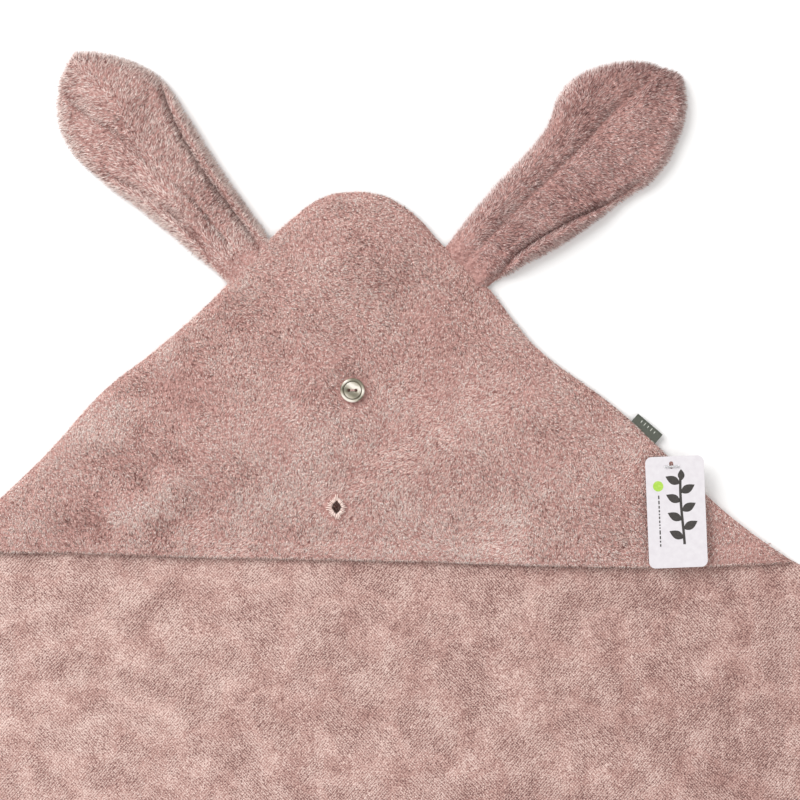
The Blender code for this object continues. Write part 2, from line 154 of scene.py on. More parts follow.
# ---- finishes -------------------------------------------------------------------
def add_node(tree, kind, sockets=None, **settings):
    """Adds a node; a socket is given a value, or (node, output) to link from."""
    made = tree.nodes.new("ShaderNode" + kind)
    for key, value in settings.items():
        setattr(made, key, value)
    for key, value in (sockets or {}).items():
        if isinstance(value, tuple) and isinstance(value[0], bpy.types.Node):
            tree.links.new(value[0].outputs[value[1]], made.inputs[key])
        else:
            made.inputs[key].default_value = value
    return made


def finish(name, colour, roughness, **sockets):
    """A new material and its Principled shader."""
    made = bpy.data.materials.new(name)
    made.use_nodes = True
    shader = made.node_tree.nodes["Principled BSDF"]
    shader.inputs["Base Color"].default_value = from_hex(colour)
    shader.inputs["Roughness"].default_value = roughness
    for key, value in sockets.items():
        shader.inputs[key.replace("_", " ").title().replace("Ior", "IOR")].default_value = value
    return made, shader


def coloured(tree, shader, source, stops):
    """Colours a shader by a ramp of (place, hex) stops, fed by (node, output)."""
    ramp = add_node(tree, "ValToRGB", {"Fac": source})
    band = ramp.color_ramp
    while len(band.elements) < len(stops):
        band.elements.new(0.5)
    for element, (place, colour) in zip(band.elements, stops):
        element.position = place
        element.color = from_hex(colour)
    tree.links.new(ramp.outputs["Color"], shader.inputs["Base Color"])


def relieved(tree, shader, height, strength, distance):
    """Gives a shader relief from a height."""
    bump = add_node(tree, "Bump", {"Height": height, "Strength": strength, "Distance": distance})
    tree.links.new(bump.outputs["Normal"], shader.inputs["Normal"])


def grained(name, colour, roughness, scale, stops, relief=None, detail=2.0, **sockets):
    """A finish whose colour follows a fine grain; relief is its (strength, depth), if it has any."""
    made, shader = finish(name, colour, roughness, **sockets)
    tree = made.node_tree
    place = add_node(tree, "TexCoord")
    grain = add_node(tree, "TexNoise", {"Vector": (place, "Object"), "Scale": scale, "Detail": detail})
    coloured(tree, shader, (grain, "Fac"), stops)
    if relief:
        relieved(tree, shader, (grain, "Fac"), *relief)
    return made


def bands(pitch):
    """A wave texture's scale for bands this far apart."""
    return math.tau / 20 / pitch


def knitted_loop_terry():
    """Cotton terry, circular-knitted with short uncut loops and dyed old rose.

    The eye sees short plump loops in rows along both edges of the square, with soft clouds
    where the loops lie over; the colour is painted pale at their crowns and dark between them, as painted
    light and shade.
    """
    made, shader = finish("knitted_loop_terry", "b4938c", 0.95, sheen_weight=0.2, sheen_roughness=0.5)
    tree = made.node_tree
    place = add_node(tree, "TexCoord")
    wander = add_node(tree, "TexNoise", {"Vector": (place, "Object"), "Scale": 260, "Detail": 2.0})
    shift = add_node(tree, "VectorMath", {0: (wander, "Color"), 1: (0.5, 0.5, 0.5)}, operation="SUBTRACT")
    small = add_node(tree, "VectorMath", {0: (shift, "Vector"), "Scale": 0.9 * MM}, operation="SCALE")
    moved = add_node(tree, "VectorMath", {0: (place, "Object"), 1: (small, "Vector")}, operation="ADD")
    rows = []
    for leg in (LEFT_LEG, RIGHT_LEG):
        # Loops stand 0.72 mm apart across the row, and each shows about 1.5 mm along it.
        loop_size = (1.5 * MM, 0.72 * MM, 9)
        turn = (0, 0, math.atan2(leg.y, leg.x))
        laid = add_node(tree, "Mapping", {"Vector": (moved, "Vector"), "Rotation": turn, "Scale": loop_size},
                        vector_type="TEXTURE")
        loops = add_node(tree, "TexVoronoi", {"Vector": (laid, "Vector"), "Scale": 1.0, "Randomness": 0.4},
                         voronoi_dimensions="2D")
        # Painted light and shade: each loop's colour is pale at its crown and dark towards its edges, and
        # this also gives the relief.
        crown = add_node(tree, "MapRange", {"Value": (loops, "Distance"), "From Max": 0.75, "To Min": 1.0,
                                            "To Max": 0.0})
        rows.append(add_node(tree, "Math", {0: (loops, "Color"), 1: 0.35, 2: (crown, "Result")},
                             operation="MULTIPLY_ADD"))
    lay = add_node(tree, "TexNoise", {"Vector": (place, "Object"), "Scale": 22, "Detail": 3.0})
    which = add_node(tree, "MapRange", {"Value": (lay, "Fac"), "From Min": 0.44, "From Max": 0.56})
    both = add_node(tree, "Mix", {"Factor": (which, "Result"), 2: (rows[0], "Value"), 3: (rows[1], "Value")})
    fuzz = add_node(tree, "TexNoise", {"Vector": (place, "Object"), "Scale": 1100, "Detail": 2.0})
    pile = add_node(tree, "Math", {0: (fuzz, "Fac"), 1: 1.0, 2: (both, 0)}, operation="MULTIPLY_ADD")
    clouds = add_node(tree, "TexNoise", {"Vector": (place, "Object"), "Scale": 55, "Detail": 6.0,
                                         "Roughness": 0.7})
    clouded = add_node(tree, "Math", {0: (clouds, "Fac"), 1: 0.95, 2: (pile, "Value")},
                       operation="MULTIPLY_ADD")
    # Painted light and shade: the loops are painted paler towards the left and darker towards the right, as
    # if lit from the left.
    aside = add_node(tree, "SeparateXYZ", {"Vector": (place, "Object")})
    painted_side_light = add_node(tree, "MapRange", {"Value": (aside, "X"), "From Min": -0.3, "From Max": 0.3,
                                          "To Min": 0.07, "To Max": -0.07})
    tone = add_node(tree, "Math", {0: (clouded, "Value"), 1: (painted_side_light, "Result")}, operation="ADD")
    even = add_node(tree, "MapRange", {"Value": (tone, "Value"), "From Min": 1.12, "From Max": 2.1})
    stops = [(0.10, "6f4c47"), (0.36, "a88078"), (0.6, "c7a097"), (0.9, "f2d8cf")]
    coloured(tree, shader, (even, "Result"), stops)
    relieved(tree, shader, (pile, "Value"), 0.8, 0.7 * MM)
    return made


def plush_tufts(name, tints):
    """Sheared cotton plush, piece-dyed, in five tints from dark to near white.

    The tints, with a dry rosy sheen, are painted shade and painted highlight for how neighbouring tufts catch
    the light, and a little how each tuft takes the dye differently.
    """
    tufts = []
    for number, tint in enumerate(tints):
        made, _ = finish(f"{name}_{number}", tint, 0.9, sheen_weight=0.16, sheen_roughness=0.5,
                         sheen_tint=from_hex("ffd9cd"), specular_ior_level=0.2)
        tufts.append(made)
    return tufts


# ---- making meshes -----------------------------------------------------------------
def show(name, mesh, *finishes):
    """A new object in the scene, from a mesh, curve, lamp or lens."""
    for one in finishes:
        mesh.materials.append(one)
    made = bpy.data.objects.new(name, mesh)
    bpy.context.scene.collection.objects.link(made)
    return made


def slab(name, top, under, *finishes):
    """A closed sheet between two grids of points, each rows x columns x 3."""
    rows, columns = top.shape[:2]
    size = rows * columns
    welded = 0.01 * MM  # closer points than this are one
    index = np.arange(size).reshape(rows, columns)
    cells = np.stack([index[:-1, :-1], index[1:, :-1], index[1:, 1:], index[:-1, 1:]], -1).reshape(-1, 4)
    rim = np.concatenate([index[0, :-1], index[:-1, -1], index[-1, :0:-1], index[:0:-1, 0]])
    walls = np.stack([rim, np.roll(rim, -1), np.roll(rim, -1) + size, rim + size], -1)
    mesh = bpy.data.meshes.new(name)
    points = np.concatenate([top.reshape(-1, 3), under.reshape(-1, 3)])
    quads = np.concatenate([cells, cells[:, ::-1] + size, walls])
    mesh.from_pydata(points.tolist(), [], quads.tolist())
    shape = bmesh.new()
    shape.from_mesh(mesh)
    bmesh.ops.dissolve_degenerate(shape, dist=welded, edges=shape.edges)
    bmesh.ops.remove_doubles(shape, verts=shape.verts, dist=welded)
    bmesh.ops.recalc_face_normals(shape, faces=shape.faces)
    shape.to_mesh(mesh)
    shape.free()
    mesh.shade_smooth()
    mesh.set_sharp_from_angle(angle=math.radians(50))
    return show(name, mesh, *finishes)


def grid_on(grid, i, j, fi, fj):
    """Points at (row, column) cells and shares within them."""
    a, b = grid[i, j], grid[i, j + 1]
    c, d = grid[i + 1, j], grid[i + 1, j + 1]
    fi, fj = fi[:, None], fj[:, None]
    return (a * (1 - fj) + b * fj) * (1 - fi) + (c * (1 - fj) + d * fj) * fi


# How tufts differ from their neighbours: in length, in the way they point, in how far they
# lean out of line, in width, and in which of the five tints they are given, from painted shade to painted
# highlight.
TUFT_SHORTEST, TUFT_LONGEST = 0.65, 1.15
TUFT_TURN = 0.42
TUFT_SCATTER = 0.16
TUFT_NARROWEST, TUFT_WIDER = 0.75, 0.5
TUFT_MIDDLE_TINT, TUFT_TINTS = 2.4, 1.65
NAP_SEED = 50
TUFT_ROOTED = 0.3 * MM  # tufts start this far under the cloth's face
TUFT_FLOOR = 0.05 * MM  # the floor presses the pile flat
TUFT_SIDES = [math.tau * k / 3 for k in range(3)]
TUFT_FACES = np.array([[0, 1, 3], [1, 2, 3], [2, 0, 3], [0, 2, 1]])


def pile(name, grid, count, length, seed, finishes, lean=0.84, width=0.25 * MM, keep=None, tilt=0.0,
         flow=None, tone=None):
    """Tufts of pile standing on a grid of points, each a slim three-sided spike.

    lean is how far they lie over along the nap, which wanders; keep(points) gives each
    place's share of the full length, and none grow where that is under a tenth; flow(points)
    turns the nap, and tone(points) makes it paler.
    """
    rng = np.random.default_rng(seed)
    across = grid[:-1, 1:] - grid[:-1, :-1]
    down = grid[1:, :-1] - grid[:-1, :-1]
    normal = np.cross(across, down)
    area = np.linalg.norm(normal, axis=-1)
    upward = np.sign(normal[..., 2].sum())
    share = (area / area.sum()).ravel()
    cell = rng.choice(share.size, count, p=share)
    i, j = np.divmod(cell, area.shape[1])
    root = grid_on(grid, i, j, rng.random(count), rng.random(count))
    away = upward * normal[i, j] / np.maximum(area[i, j], 1e-12)[:, None]
    x, y = root[:, 0], root[:, 1]
    scale = rng.uniform(TUFT_SHORTEST, TUFT_LONGEST, count) * (keep(root) if keep else 1.0)
    # Strokes left by hands turn the nap over about 45 mm, and loose locks of it over 14 mm.
    nap = tilt + 1.1 * drift(x, y, 45 * MM, NAP_SEED) + 0.9 * drift(x, y, 14 * MM, NAP_SEED + 1)
    nap = nap + rng.normal(0, TUFT_TURN, count)
    lying = np.stack([np.cos(nap), np.sin(nap), np.zeros(count)], -1)
    if flow:
        lying[:, :2] = 0.55 * lying[:, :2] + flow(root)
        lying /= np.maximum(np.linalg.norm(lying, axis=1), 0.3)[:, None]
    # On a slope the pile lies along the cloth rather than into it.
    lying -= away * np.minimum((lying * away).sum(-1), 0)[:, None]
    amount = lean * (1 + 0.16 * drift(x, y, 23 * MM, NAP_SEED + 2))[:, None]
    aim = unit(away * (1 - amount) + lying * amount + rng.normal(0, TUFT_SCATTER, (count, 3)))
    side = unit(np.cross(aim, rng.normal(0, 1, (count, 3))))
    other = np.cross(aim, side)
    wide = width * (TUFT_NARROWEST + TUFT_WIDER * rng.random(count))[:, None]
    foot = root - away * TUFT_ROOTED
    corners = [foot + wide * (math.cos(a) * side + math.sin(a) * other) for a in TUFT_SIDES]
    tips = root + aim * (length * scale)[:, None]
    # Paler and darker patches are about 24 mm across, and locks within them 8 mm.
    patches = 0.75 * drift(x, y, 24 * MM, NAP_SEED + 3)
    locks = 0.5 * drift(x, y, 8 * MM, NAP_SEED + 4)
    # Painted light and shade: the tint, with its patches and its spread from tuft to tuft, makes some tufts
    # dark as if shaded and others pale as if lit.
    tint = TUFT_MIDDLE_TINT + patches + locks
    tint = tint + rng.normal(0, TUFT_TINTS, count) + (tone(root) if tone else 0)
    tint = np.clip(np.round(tint), 0, len(finishes) - 1).astype(int)
    grown = scale > 0.1
    points = np.stack([*corners, tips], 1)[grown].reshape(-1, 3)
    points[:, 2] = np.maximum(points[:, 2], TUFT_FLOOR)
    first = 4 * np.arange(grown.sum())[:, None]
    faces = (first[:, None] + TUFT_FACES[None]).reshape(-1, 3)
    mesh = bpy.data.meshes.new(name)
    mesh.vertices.add(len(points))
    mesh.vertices.foreach_set("co", points.astype(np.float32).ravel())
    mesh.loops.add(faces.size)
    mesh.loops.foreach_set("vertex_index", faces.astype(np.int32).ravel())
    mesh.polygons.add(len(faces))
    mesh.polygons.foreach_set("loop_start", np.arange(0, faces.size, 3, dtype=np.int32))
    mesh.polygons.foreach_set("material_index", np.repeat(tint[grown], 4).astype(np.int32))
    mesh.update(calc_edges=True)
    mesh.shade_smooth()
    return show(name, mesh, *finishes)


def revolved(name, profile, steps, *finishes):
    """A turned piece from (radius, height) points, top to bottom."""
    mesh = bpy.data.meshes.new(name)
    edges = [(k, k + 1) for k in range(len(profile) - 1)]
    mesh.from_pydata([(radius, 0, height) for radius, height in profile], edges, [])
    made = show(name, mesh, *finishes)
    turn = made.modifiers.new("turn", "SCREW")
    turn.steps = turn.render_steps = steps
    turn.use_merge_vertices = True
    turn.merge_threshold = 0.01 * MM
    turn.use_smooth_shade = True
    return made


def add_line(curve, places, closed):
    """Adds a run of straight steps to a curve."""
    spline = curve.splines.new("POLY")
    spline.points.add(len(places) - 1)
    for point, place in zip(spline.points, places):
        point.co = (*place, 1)
    spline.use_cyclic_u = closed


def strand(name, path, diameter, *finishes, closed=False, sides=3):
    """A round thread along these points."""
    curve = bpy.data.curves.new(name, "CURVE")
    curve.dimensions = "3D"
    curve.bevel_depth = 0.5 * diameter
    curve.bevel_resolution = sides
    curve.use_fill_caps = not closed
    add_line(curve, path, closed)
    return show(name, curve, *finishes)


def as_mesh(piece):
    """Applies a piece's modifiers, or turns a curve into the same shape as a mesh."""
    bpy.context.view_layer.update()
    seen = piece.evaluated_get(bpy.context.evaluated_depsgraph_get())
    mesh = bpy.data.meshes.new_from_object(seen)
    name, place = piece.name, piece.matrix_world.copy()
    bpy.data.objects.remove(piece)
    made = show(name, mesh)
    made.matrix_world = place
    return made


def joined(name, pieces):
    """Several meshes as one piece."""
    shape = bmesh.new()
    finishes = []
    for piece in pieces:
        mesh = piece.data.copy()
        mesh.transform(piece.matrix_world)
        offset = len(finishes)
        finishes += list(mesh.materials)
        first = len(shape.faces)
        shape.from_mesh(mesh)
        shape.faces.ensure_lookup_table()
        for face in shape.faces[first:]:
            face.material_index += offset
        bpy.data.objects.remove(piece)
    mesh = bpy.data.meshes.new(name)
    shape.to_mesh(mesh)
    shape.free()
    return show(name, mesh, *finishes)


def through(stations, x):
    """A smooth curve through (place, value) stations in mm, read at x metres."""
    place, value = np.array(stations, float).T * MM
    slope = np.gradient(value, place)
    k = np.clip(np.searchsorted(place, x) - 1, 0, len(place) - 2)
    gap = place[k + 1] - place[k]
    t = np.clip((x - place[k]) / gap, 0, 1)
    start = (2 * t**3 - 3 * t**2 + 1) * value[k] + (t**3 - 2 * t**2 + t) * gap * slope[k]
    end = (3 * t**2 - 2 * t**3) * value[k + 1] + (t**3 - t**2) * gap * slope[k + 1]
    return start + end


def stitches(name, path, pitch, length, diameter, *finishes):
    """A row of lockstitches along these points, each one a short plump thread."""
    path = np.array(path, float)
    steps = np.linalg.norm(np.diff(path, axis=0), axis=1)
    run = np.concatenate([[0], np.cumsum(steps)])
    at = np.arange(0.5 * pitch, run[-1], pitch)
    middle = np.stack([np.interp(at, run, path[:, k]) for k in range(3)], -1)
    ahead = np.stack([np.interp(at + 0.3 * pitch, run, path[:, k]) for k in range(3)], -1)
    behind = np.stack([np.interp(at - 0.3 * pitch, run, path[:, k]) for k in range(3)], -1)
    along = unit(ahead - behind)
    side = unit(np.cross(along, (0, 0, 1)))
    up = np.cross(side, along)
    sides = 6
    # Along a stitch, as shares of its length: where, how thick, and how far it dives in.
    rings = [(-0.5, 0.25, -0.5), (-0.34, 0.85, -0.1), (0.0, 1.0, 0.0), (0.34, 0.85, -0.1), (0.5, 0.25, -0.5)]
    points = []
    for place, share, drop in rings:
        centre = middle + along * (place * length) + up * (drop * diameter)
        for k in range(sides):
            a = math.tau * k / sides
            points.append(centre + 0.5 * diameter * share * (math.cos(a) * side + math.sin(a) * up))
    points = np.stack(points, 1).reshape(-1, 3)
    faces = []
    for ring in range(len(rings) - 1):
        for k in range(sides):
            here = ring * sides + k
            beside = ring * sides + (k + 1) % sides
            faces.append((here, beside, beside + sides, here + sides))
    count = len(rings) * sides
    caps = [tuple(range(sides))[::-1], tuple(range(count - sides, count))]
    mesh = bpy.data.meshes.new(name)
    every = [tuple(i + s * count for i in face) for s in range(len(at)) for face in faces + caps]
    mesh.from_pydata(points.tolist(), [], every)
    mesh.shade_smooth()
    return show(name, mesh, *finishes)


# ---- the towel ------------------------------------------------------------------
TERRY = knitted_loop_terry()
# The knitted ground under the long pile, seen only between the tufts: painted darker than the tufts, as
# painted shade where it is in shade.
SHADED_GROUND = grained("pile_ground", "a07c74", 0.95, 600, [(0.3, "8a615b"), (0.7, "c0958e")], (0.5, 0.6 * MM))
# The hood and both ears are one plush; each set runs from painted shade to painted highlight, and the sets
# differ in brightness as painted light and shade.
HOOD_TINTS = ["704741", "cb9f97", "f4d0c7", "ffe3da", "fff4ee"]
LEFT_EAR_TINTS = ["7a5651", "b48f89", "d8b9b2", "f0d7d0", "fff0ea"]
RIGHT_EAR_SHADED_TINTS = ["6a4845", "9b7572", "bc938f", "d7b6b1", "efd8d3"]
HOOD_PLUSH = plush_tufts("hood_plush", HOOD_TINTS)
# The right ear's plush is painted darker, as painted shade: its nap runs the other way and catches less
# light.
EAR_PLUSH = {
    "left": plush_tufts("left_ear_plush", LEFT_EAR_TINTS),
    "right": plush_tufts("right_ear_plush", RIGHT_EAR_SHADED_TINTS),
}

# How far each sewn leg of the hood wanders outwards, at distances down it, in mm.
LEG_WANDER = {
    "left": [(0, 4.0), (10, 4.0), (36, 3.6), (56, 4.4), (124, 1), (163, 2.6), (203, 6), (250, 2), (360, 2)],
    "right": [(0, 4.0), (10, 4.0), (36, 8.0), (51, 9), (71, 6.5), (116, 4), (150, -3), (224, 0),
              (313, -3.6), (380, 0.5)],
}
# The mouth's own bow between its ends, across and up, in mm.
MOUTH_BOW = [(-262, 0), (-170, 0.3), (-114, -1), (20, -2.1), (193, -3.6), (235, -1.9), (264, 0)]
MOUTH_TUCK = 9.6 * MM  # the mouth's ends are drawn this far up the legs
PILE_REACH = 1.5 * MM  # pile stands this far past the cloth's own edge
SEAM_Z = 4.0 * MM  # height of the seam down the hood's legs


def leg_edge(side, shares, inset):
    """Points down one sewn leg, from the tip of the corner to the mouth."""
    along, out = (flat(v) for v in LEGS[side])
    top = -flat(DOWN)
    start = CORNER_RADIUS / math.tan(HALF_CORNER)
    turn = 0.5 * math.pi - HALF_CORNER
    arc = CORNER_RADIUS * turn
    run = shares * (arc + MOUTH_RUN[side] - MOUTH_TUCK - start)
    angle = np.minimum(run / CORNER_RADIUS, turn)
    place = np.where(run < arc, start - CORNER_RADIUS * np.sin(turn - angle), start + run - arc)
    proud = (through(LEG_WANDER[side], place) - inset)[:, None]
    middle = flat(APEX) + flat(DOWN) * (CORNER_RADIUS / math.sin(HALF_CORNER))
    across = (out - top * (out @ top)) / math.sin(turn)
    ray = top * np.cos(angle)[:, None] + across * np.sin(angle)[:, None]
    curved = middle + ray * (CORNER_RADIUS + proud)
    straight = flat(APEX) + along * place[:, None] + out * proud
    return np.where((run < arc)[:, None], curved, straight)


def from_line(points, line):
    """Distance of each point from a line of points."""
    nearest = np.full(len(points), 9.0)
    for start, end in zip(line[:-1], line[1:]):
        way = end - start
        share = np.clip(((points - start) @ way) / max(way @ way, 1e-12), 0, 1)
        nearest = np.minimum(nearest, np.linalg.norm(points - start - share[:, None] * way, axis=1))
    return nearest


FINE = np.linspace(0, 1, 140)
# From the mouth's left end up to the tip and down to its right end.
HOOD_OUTLINE = [leg_edge("left", FINE, PILE_REACH)[::-1], leg_edge("right", FINE, PILE_REACH)[1:]]
HOOD_OUTLINE = np.concatenate(HOOD_OUTLINE)


def mouth_line(x):
    """The straight line between the mouth's ends."""
    left, right = HOOD_OUTLINE[0], HOOD_OUTLINE[-1]
    return left[1] + (right[1] - left[1]) * (x - left[0]) / (right[0] - left[0])


def mouth_y(x):
    """The mouth's own bowed edge."""
    return mouth_line(x) + through(MOUTH_BOW, x)


def crumple(x, y):
    """1 where the hood's cloth is crumpled, towards its left leg, and 0 elsewhere."""
    return smooth((-x - 85 * MM) / (40 * MM)) * smooth((y - 350 * MM) / (40 * MM))


CREASE_SIZE, CREASE_SEED = 15 * MM, 33  # of the small creases there


def hood_heights(points):
    """Top and underside of the hood's cloth at these places."""
    x, y = points[:, 0], points[:, 1]
    edge = from_line(points, HOOD_OUTLINE)
    above_mouth = np.maximum(y - mouth_y(x), 0)
    rise = HOOD_RISE * smooth(inside(points, "left") / HOOD_RISE_RUN)
    rise = rise * smooth(inside(points, "right") / HOOD_RISE_RUN)
    # Its mouth lies almost flat, and it rises over the first 80 mm above that.
    rise *= 0.15 + 0.85 * smooth(above_mouth / (80 * MM))
    # It is fuller just below the tip, with a small dent beside that.
    crown = 5 * MM * gauss((x - 4 * MM) / (34 * MM)) * gauss((y - 555 * MM) / (26 * MM))
    dent = -1.6 * MM * gauss((x + 12 * MM) / (9 * MM)) * gauss((y - 579 * MM) / (7 * MM))
    waves = 1.0 * MM * drift(x, y, 70 * MM, 31) + 0.6 * MM * drift(x, y, 28 * MM, 32)
    soft = waves * smooth(edge / (30 * MM))
    crumpled = crumple(x, y) * smooth(edge / (16 * MM))
    soft = soft + 1.5 * MM * drift(x, y, CREASE_SIZE, CREASE_SEED) * crumpled
    # The turned hem is a layer thicker, with a groove along its stitching.
    turned = 0.5 * MM * smooth((HEM + 1 * MM - above_mouth) / (2 * MM))
    seam = -0.5 * MM * gauss((above_mouth - HEM) / (1.2 * MM))
    body = HOOD_EDGE_TOP - SEAM_Z + rise + crown + dent + soft + turned + seam
    fold = rolled(edge, 8 * MM)
    top = SEAM_Z + 0.2 * MM + body * fold
    # The button's thread draws the cloth down a little, so that the button can tilt.
    drawn = smooth((20 * MM - np.hypot(x - BUTTON.x, y - BUTTON.y)) / (10 * MM))
    top = top * (1 - drawn) + np.minimum(top, BUTTON_UNDER - 1.5 * MM) * drawn
    under = np.maximum(top - 3.1 * MM * fold - 0.2 * MM, SEAM_Z)
    lip = rolled(above_mouth, 1.5 * MM)
    middle = 0.5 * (top + under)
    return middle + (top - middle) * lip, middle + (under - middle) * lip


def lifted(points, heights):
    """Points seen from above, given their heights."""
    return np.concatenate([points, heights[:, None]], 1)


def hood_half(side):
    """One half of the hood, from its sewn leg to the line down the middle."""
    # Rows stand close together near the mouth, whose edge is rolled; near is from there.
    near = np.array([6, 4.5, 3.2, 2.2, 1.5, 1.0, 0.6, 0.3, 0.1, 0]) * MM
    reach = 350 * MM
    upper = np.linspace(0, 1, 118) ** 1.15 * (1 - near[0] / reach - 0.006)
    shares = np.concatenate([upper, 1 - near / reach])
    left = leg_edge("left", shares, PILE_REACH)
    right = leg_edge("right", shares, PILE_REACH)
    # Each row runs from leg to leg; the middle is where it crosses the line down from the tip.
    width = right - left
    aside = np.array((-DOWN.y, DOWN.x))
    offset = (left - flat(APEX)) @ aside
    step = width @ aside
    wide = abs(step) > 1e-9
    middle = left - width * np.where(wide, offset / np.where(wide, step, 1), 0)[:, None]
    outer = left if side == "left" else right
    across = np.linspace(0, 1, 62) ** 1.5
    points = outer[:, None] + (middle - outer)[:, None] * across[None, :, None]
    shape = points.shape[:2]
    points = points.reshape(-1, 2)
    # The rows near the mouth take up its bow.
    pull = smooth(1 - (points[:, 1] - mouth_line(points[:, 0])) / (70 * MM))
    points[:, 1] += through(MOUTH_BOW, points[:, 0]) * pull
    return [lifted(points, heights).reshape(*shape, 3) for heights in hood_heights(points)]


def towel_grid():
    """Rows and columns over the whole towel, its corners rounded, in leg measures."""
    # Rows stand close together at the rolled edge and at the hem's stitching.
    near = np.array([0, 0.25, 0.7, 1.4, 2.4, 4, 7, 10.5, 11.5, 12.2, 13, 14.5]) * MM
    first = 19 * MM
    line = np.concatenate([near, np.linspace(first, TOWEL_SIDE - first, 138), TOWEL_SIDE - near[::-1]])
    half = 0.5 * TOWEL_SIDE
    a, b = np.meshgrid(line / half - 1, line / half - 1, indexing="ij")
    ring = np.maximum(np.maximum(abs(a), abs(b)), 1e-6)
    radius = (CORNER_RADIUS / half) * smooth((ring - 0.5) / 0.5)
    corner = ring - radius
    into_a, into_b = abs(a) - corner, abs(b) - corner
    rounded = (into_a > 0) & (into_b > 0)
    share = np.minimum(into_a, into_b) / np.maximum(radius, 1e-9)
    angle = np.where(into_a >= into_b, 0.25 * math.pi * share, 0.5 * math.pi - 0.25 * math.pi * share)
    a = np.where(rounded, np.sign(a) * (corner + radius * np.cos(angle)), a)
    b = np.where(rounded, np.sign(b) * (corner + radius * np.sin(angle)), b)
    edge = (1 - ring) * half
    return (a + 1) * half, (b + 1) * half, edge


def towel_cloth():
    """The towel's single layer of terry, turned over at its hem and a little wavy."""
    s, t, edge = towel_grid()
    points = flat(APEX) + s[..., None] * flat(LEFT_LEG) + t[..., None] * flat(RIGHT_LEG)
    shape = s.shape
    flat_points = points.reshape(-1, 2)
    x, y = flat_points.T
    e = edge.ravel()
    # Under the hood the towel's own edge follows the hood's, a little inside it.
    for side, along, aside in (("left", s.ravel(), t.ravel()), ("right", t.ravel(), s.ravel())):
        reach = MOUTH_RUN[side]
        tuck = np.where(along < reach, 1.0, 0.0) * smooth(1 - aside / (40 * MM))
        wander = through(LEG_WANDER[side], np.clip(along, 30 * MM, reach))
        ease = smooth((reach - along) / (20 * MM)) * smooth((along - 10 * MM) / (30 * MM))
        flat_points = flat_points + flat(LEGS[side][1]) * ((wander - 2.4 * MM) * tuck * ease)[:, None]
    under_hood = smooth((y - mouth_y(np.clip(x, -0.26, 0.26)) + 15 * MM) / (30 * MM))
    hem = smooth((HEM + 0.6 * MM - e) / (1.2 * MM)) * (1 - under_hood)
    seam = gauss((e - HEM) / (1.0 * MM)) * (1 - under_hood)
    soft = 1.3 * drift(x, y, 110 * MM, 11) + 0.8 * drift(x, y, 45 * MM, 12) + 0.4 * drift(x, y, 20 * MM, 13)
    waves = (1.0 + soft) * MM * (1 - under_hood) * smooth((e - 4 * MM) / (40 * MM))
    full = rolled(e, 2.4 * MM)
    top = TOWEL_TOP * 0.5 + (0.5 * TOWEL_TOP + 0.7 * MM * hem - 0.6 * MM * seam) * full
    top += np.maximum(waves, 0)
    under = 0.5 * TOWEL_TOP * (1 - full) + 0.05 * MM
    faces = [lifted(flat_points, heights).reshape(*shape, 3) for heights in (top, under)]
    return slab("towel_cloth", *faces, TERRY)


towel = towel_cloth()
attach(towel, "towel")
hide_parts("towel_body")

# ---- hem of the towel -----------------------------------------------------------
def hem_path():
    """The line of the towel's hem stitching, from one end of the mouth round to the other."""
    across = TOWEL_SIDE - HEM
    left_end, right_end = [MOUTH_RUN[side] + 0.6 * HEM for side in LEGS]
    corners = [(left_end, HEM), (across, HEM), (across, across), (HEM, across), (HEM, right_end)]
    bend = CORNER_RADIUS - HEM
    path = []
    for k, (s, t) in enumerate(corners):
        here = np.array((s, t))
        if k in (0, len(corners) - 1):
            path.append(here)
            continue
        before, after = [np.array(corners[k + way]) - here for way in (-1, 1)]
        before, after = before / np.linalg.norm(before), after / np.linalg.norm(after)
        middle = here + (before + after) * bend
        for share in np.linspace(0, 1, 9):
            a = 0.5 * math.pi * share
            path.append(middle - after * bend * math.cos(a) - before * bend * math.sin(a))
    path = np.array(path)
    place = flat(APEX) + path[:, :1] * flat(LEFT_LEG) + path[:, 1:] * flat(RIGHT_LEG)
    return lifted(place, np.full(len(place), TOWEL_TOP + 0.25 * MM))


def sewing_thread():
    """Spun polyester thread, dyed to match: two plies whose twist shows as fine slanting lines."""
    made, shader = finish("sewing_thread", "bb968e", 0.6, sheen_weight=0.2)
    tree = made.node_tree
    place = add_node(tree, "TexCoord")
    # Plies at about 0.7 mm.
    ply = add_node(tree, "TexWave", {"Vector": (place, "Object"), "Scale": bands(0.7 * MM)},
                   bands_direction="DIAGONAL")
    coloured(tree, shader, (ply, "Fac"), [(0.2, "a07c75"), (0.8, "ccaaa2")])
    relieved(tree, shader, (ply, "Fac"), 0.6, 0.08 * MM)
    return made


THREAD = sewing_thread()
hem = stitches("towel_hem_stitches", hem_path(), HEM_PITCH, 2.5 * MM, 0.7 * MM, THREAD)
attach(hem, "towel")
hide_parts("towel_hem_thread")

# ---- the hood ---------------------------------------------------------------------
TAG_TURN = math.atan2(-JOINT["tag_lift"]["axis"][1], -JOINT["tag_lift"]["axis"][0])
CARD_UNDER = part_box("hang_tag")[0].z
CARD_WIDE, CARD_LONG = 36 * MM, 68.5 * MM
CARD_LEFT, CARD_TOP = 16 * MM, 6.3 * MM  # from its hole
CARD_THICK = 0.5 * MM


def on_card(x, y):
    """Across and up the card from its hole."""
    c, s = math.cos(TAG_TURN), math.sin(TAG_TURN)
    dx, dy = x - FASTENER.x, y - FASTENER.y
    return c * dx + s * dy, c * dy - s * dx


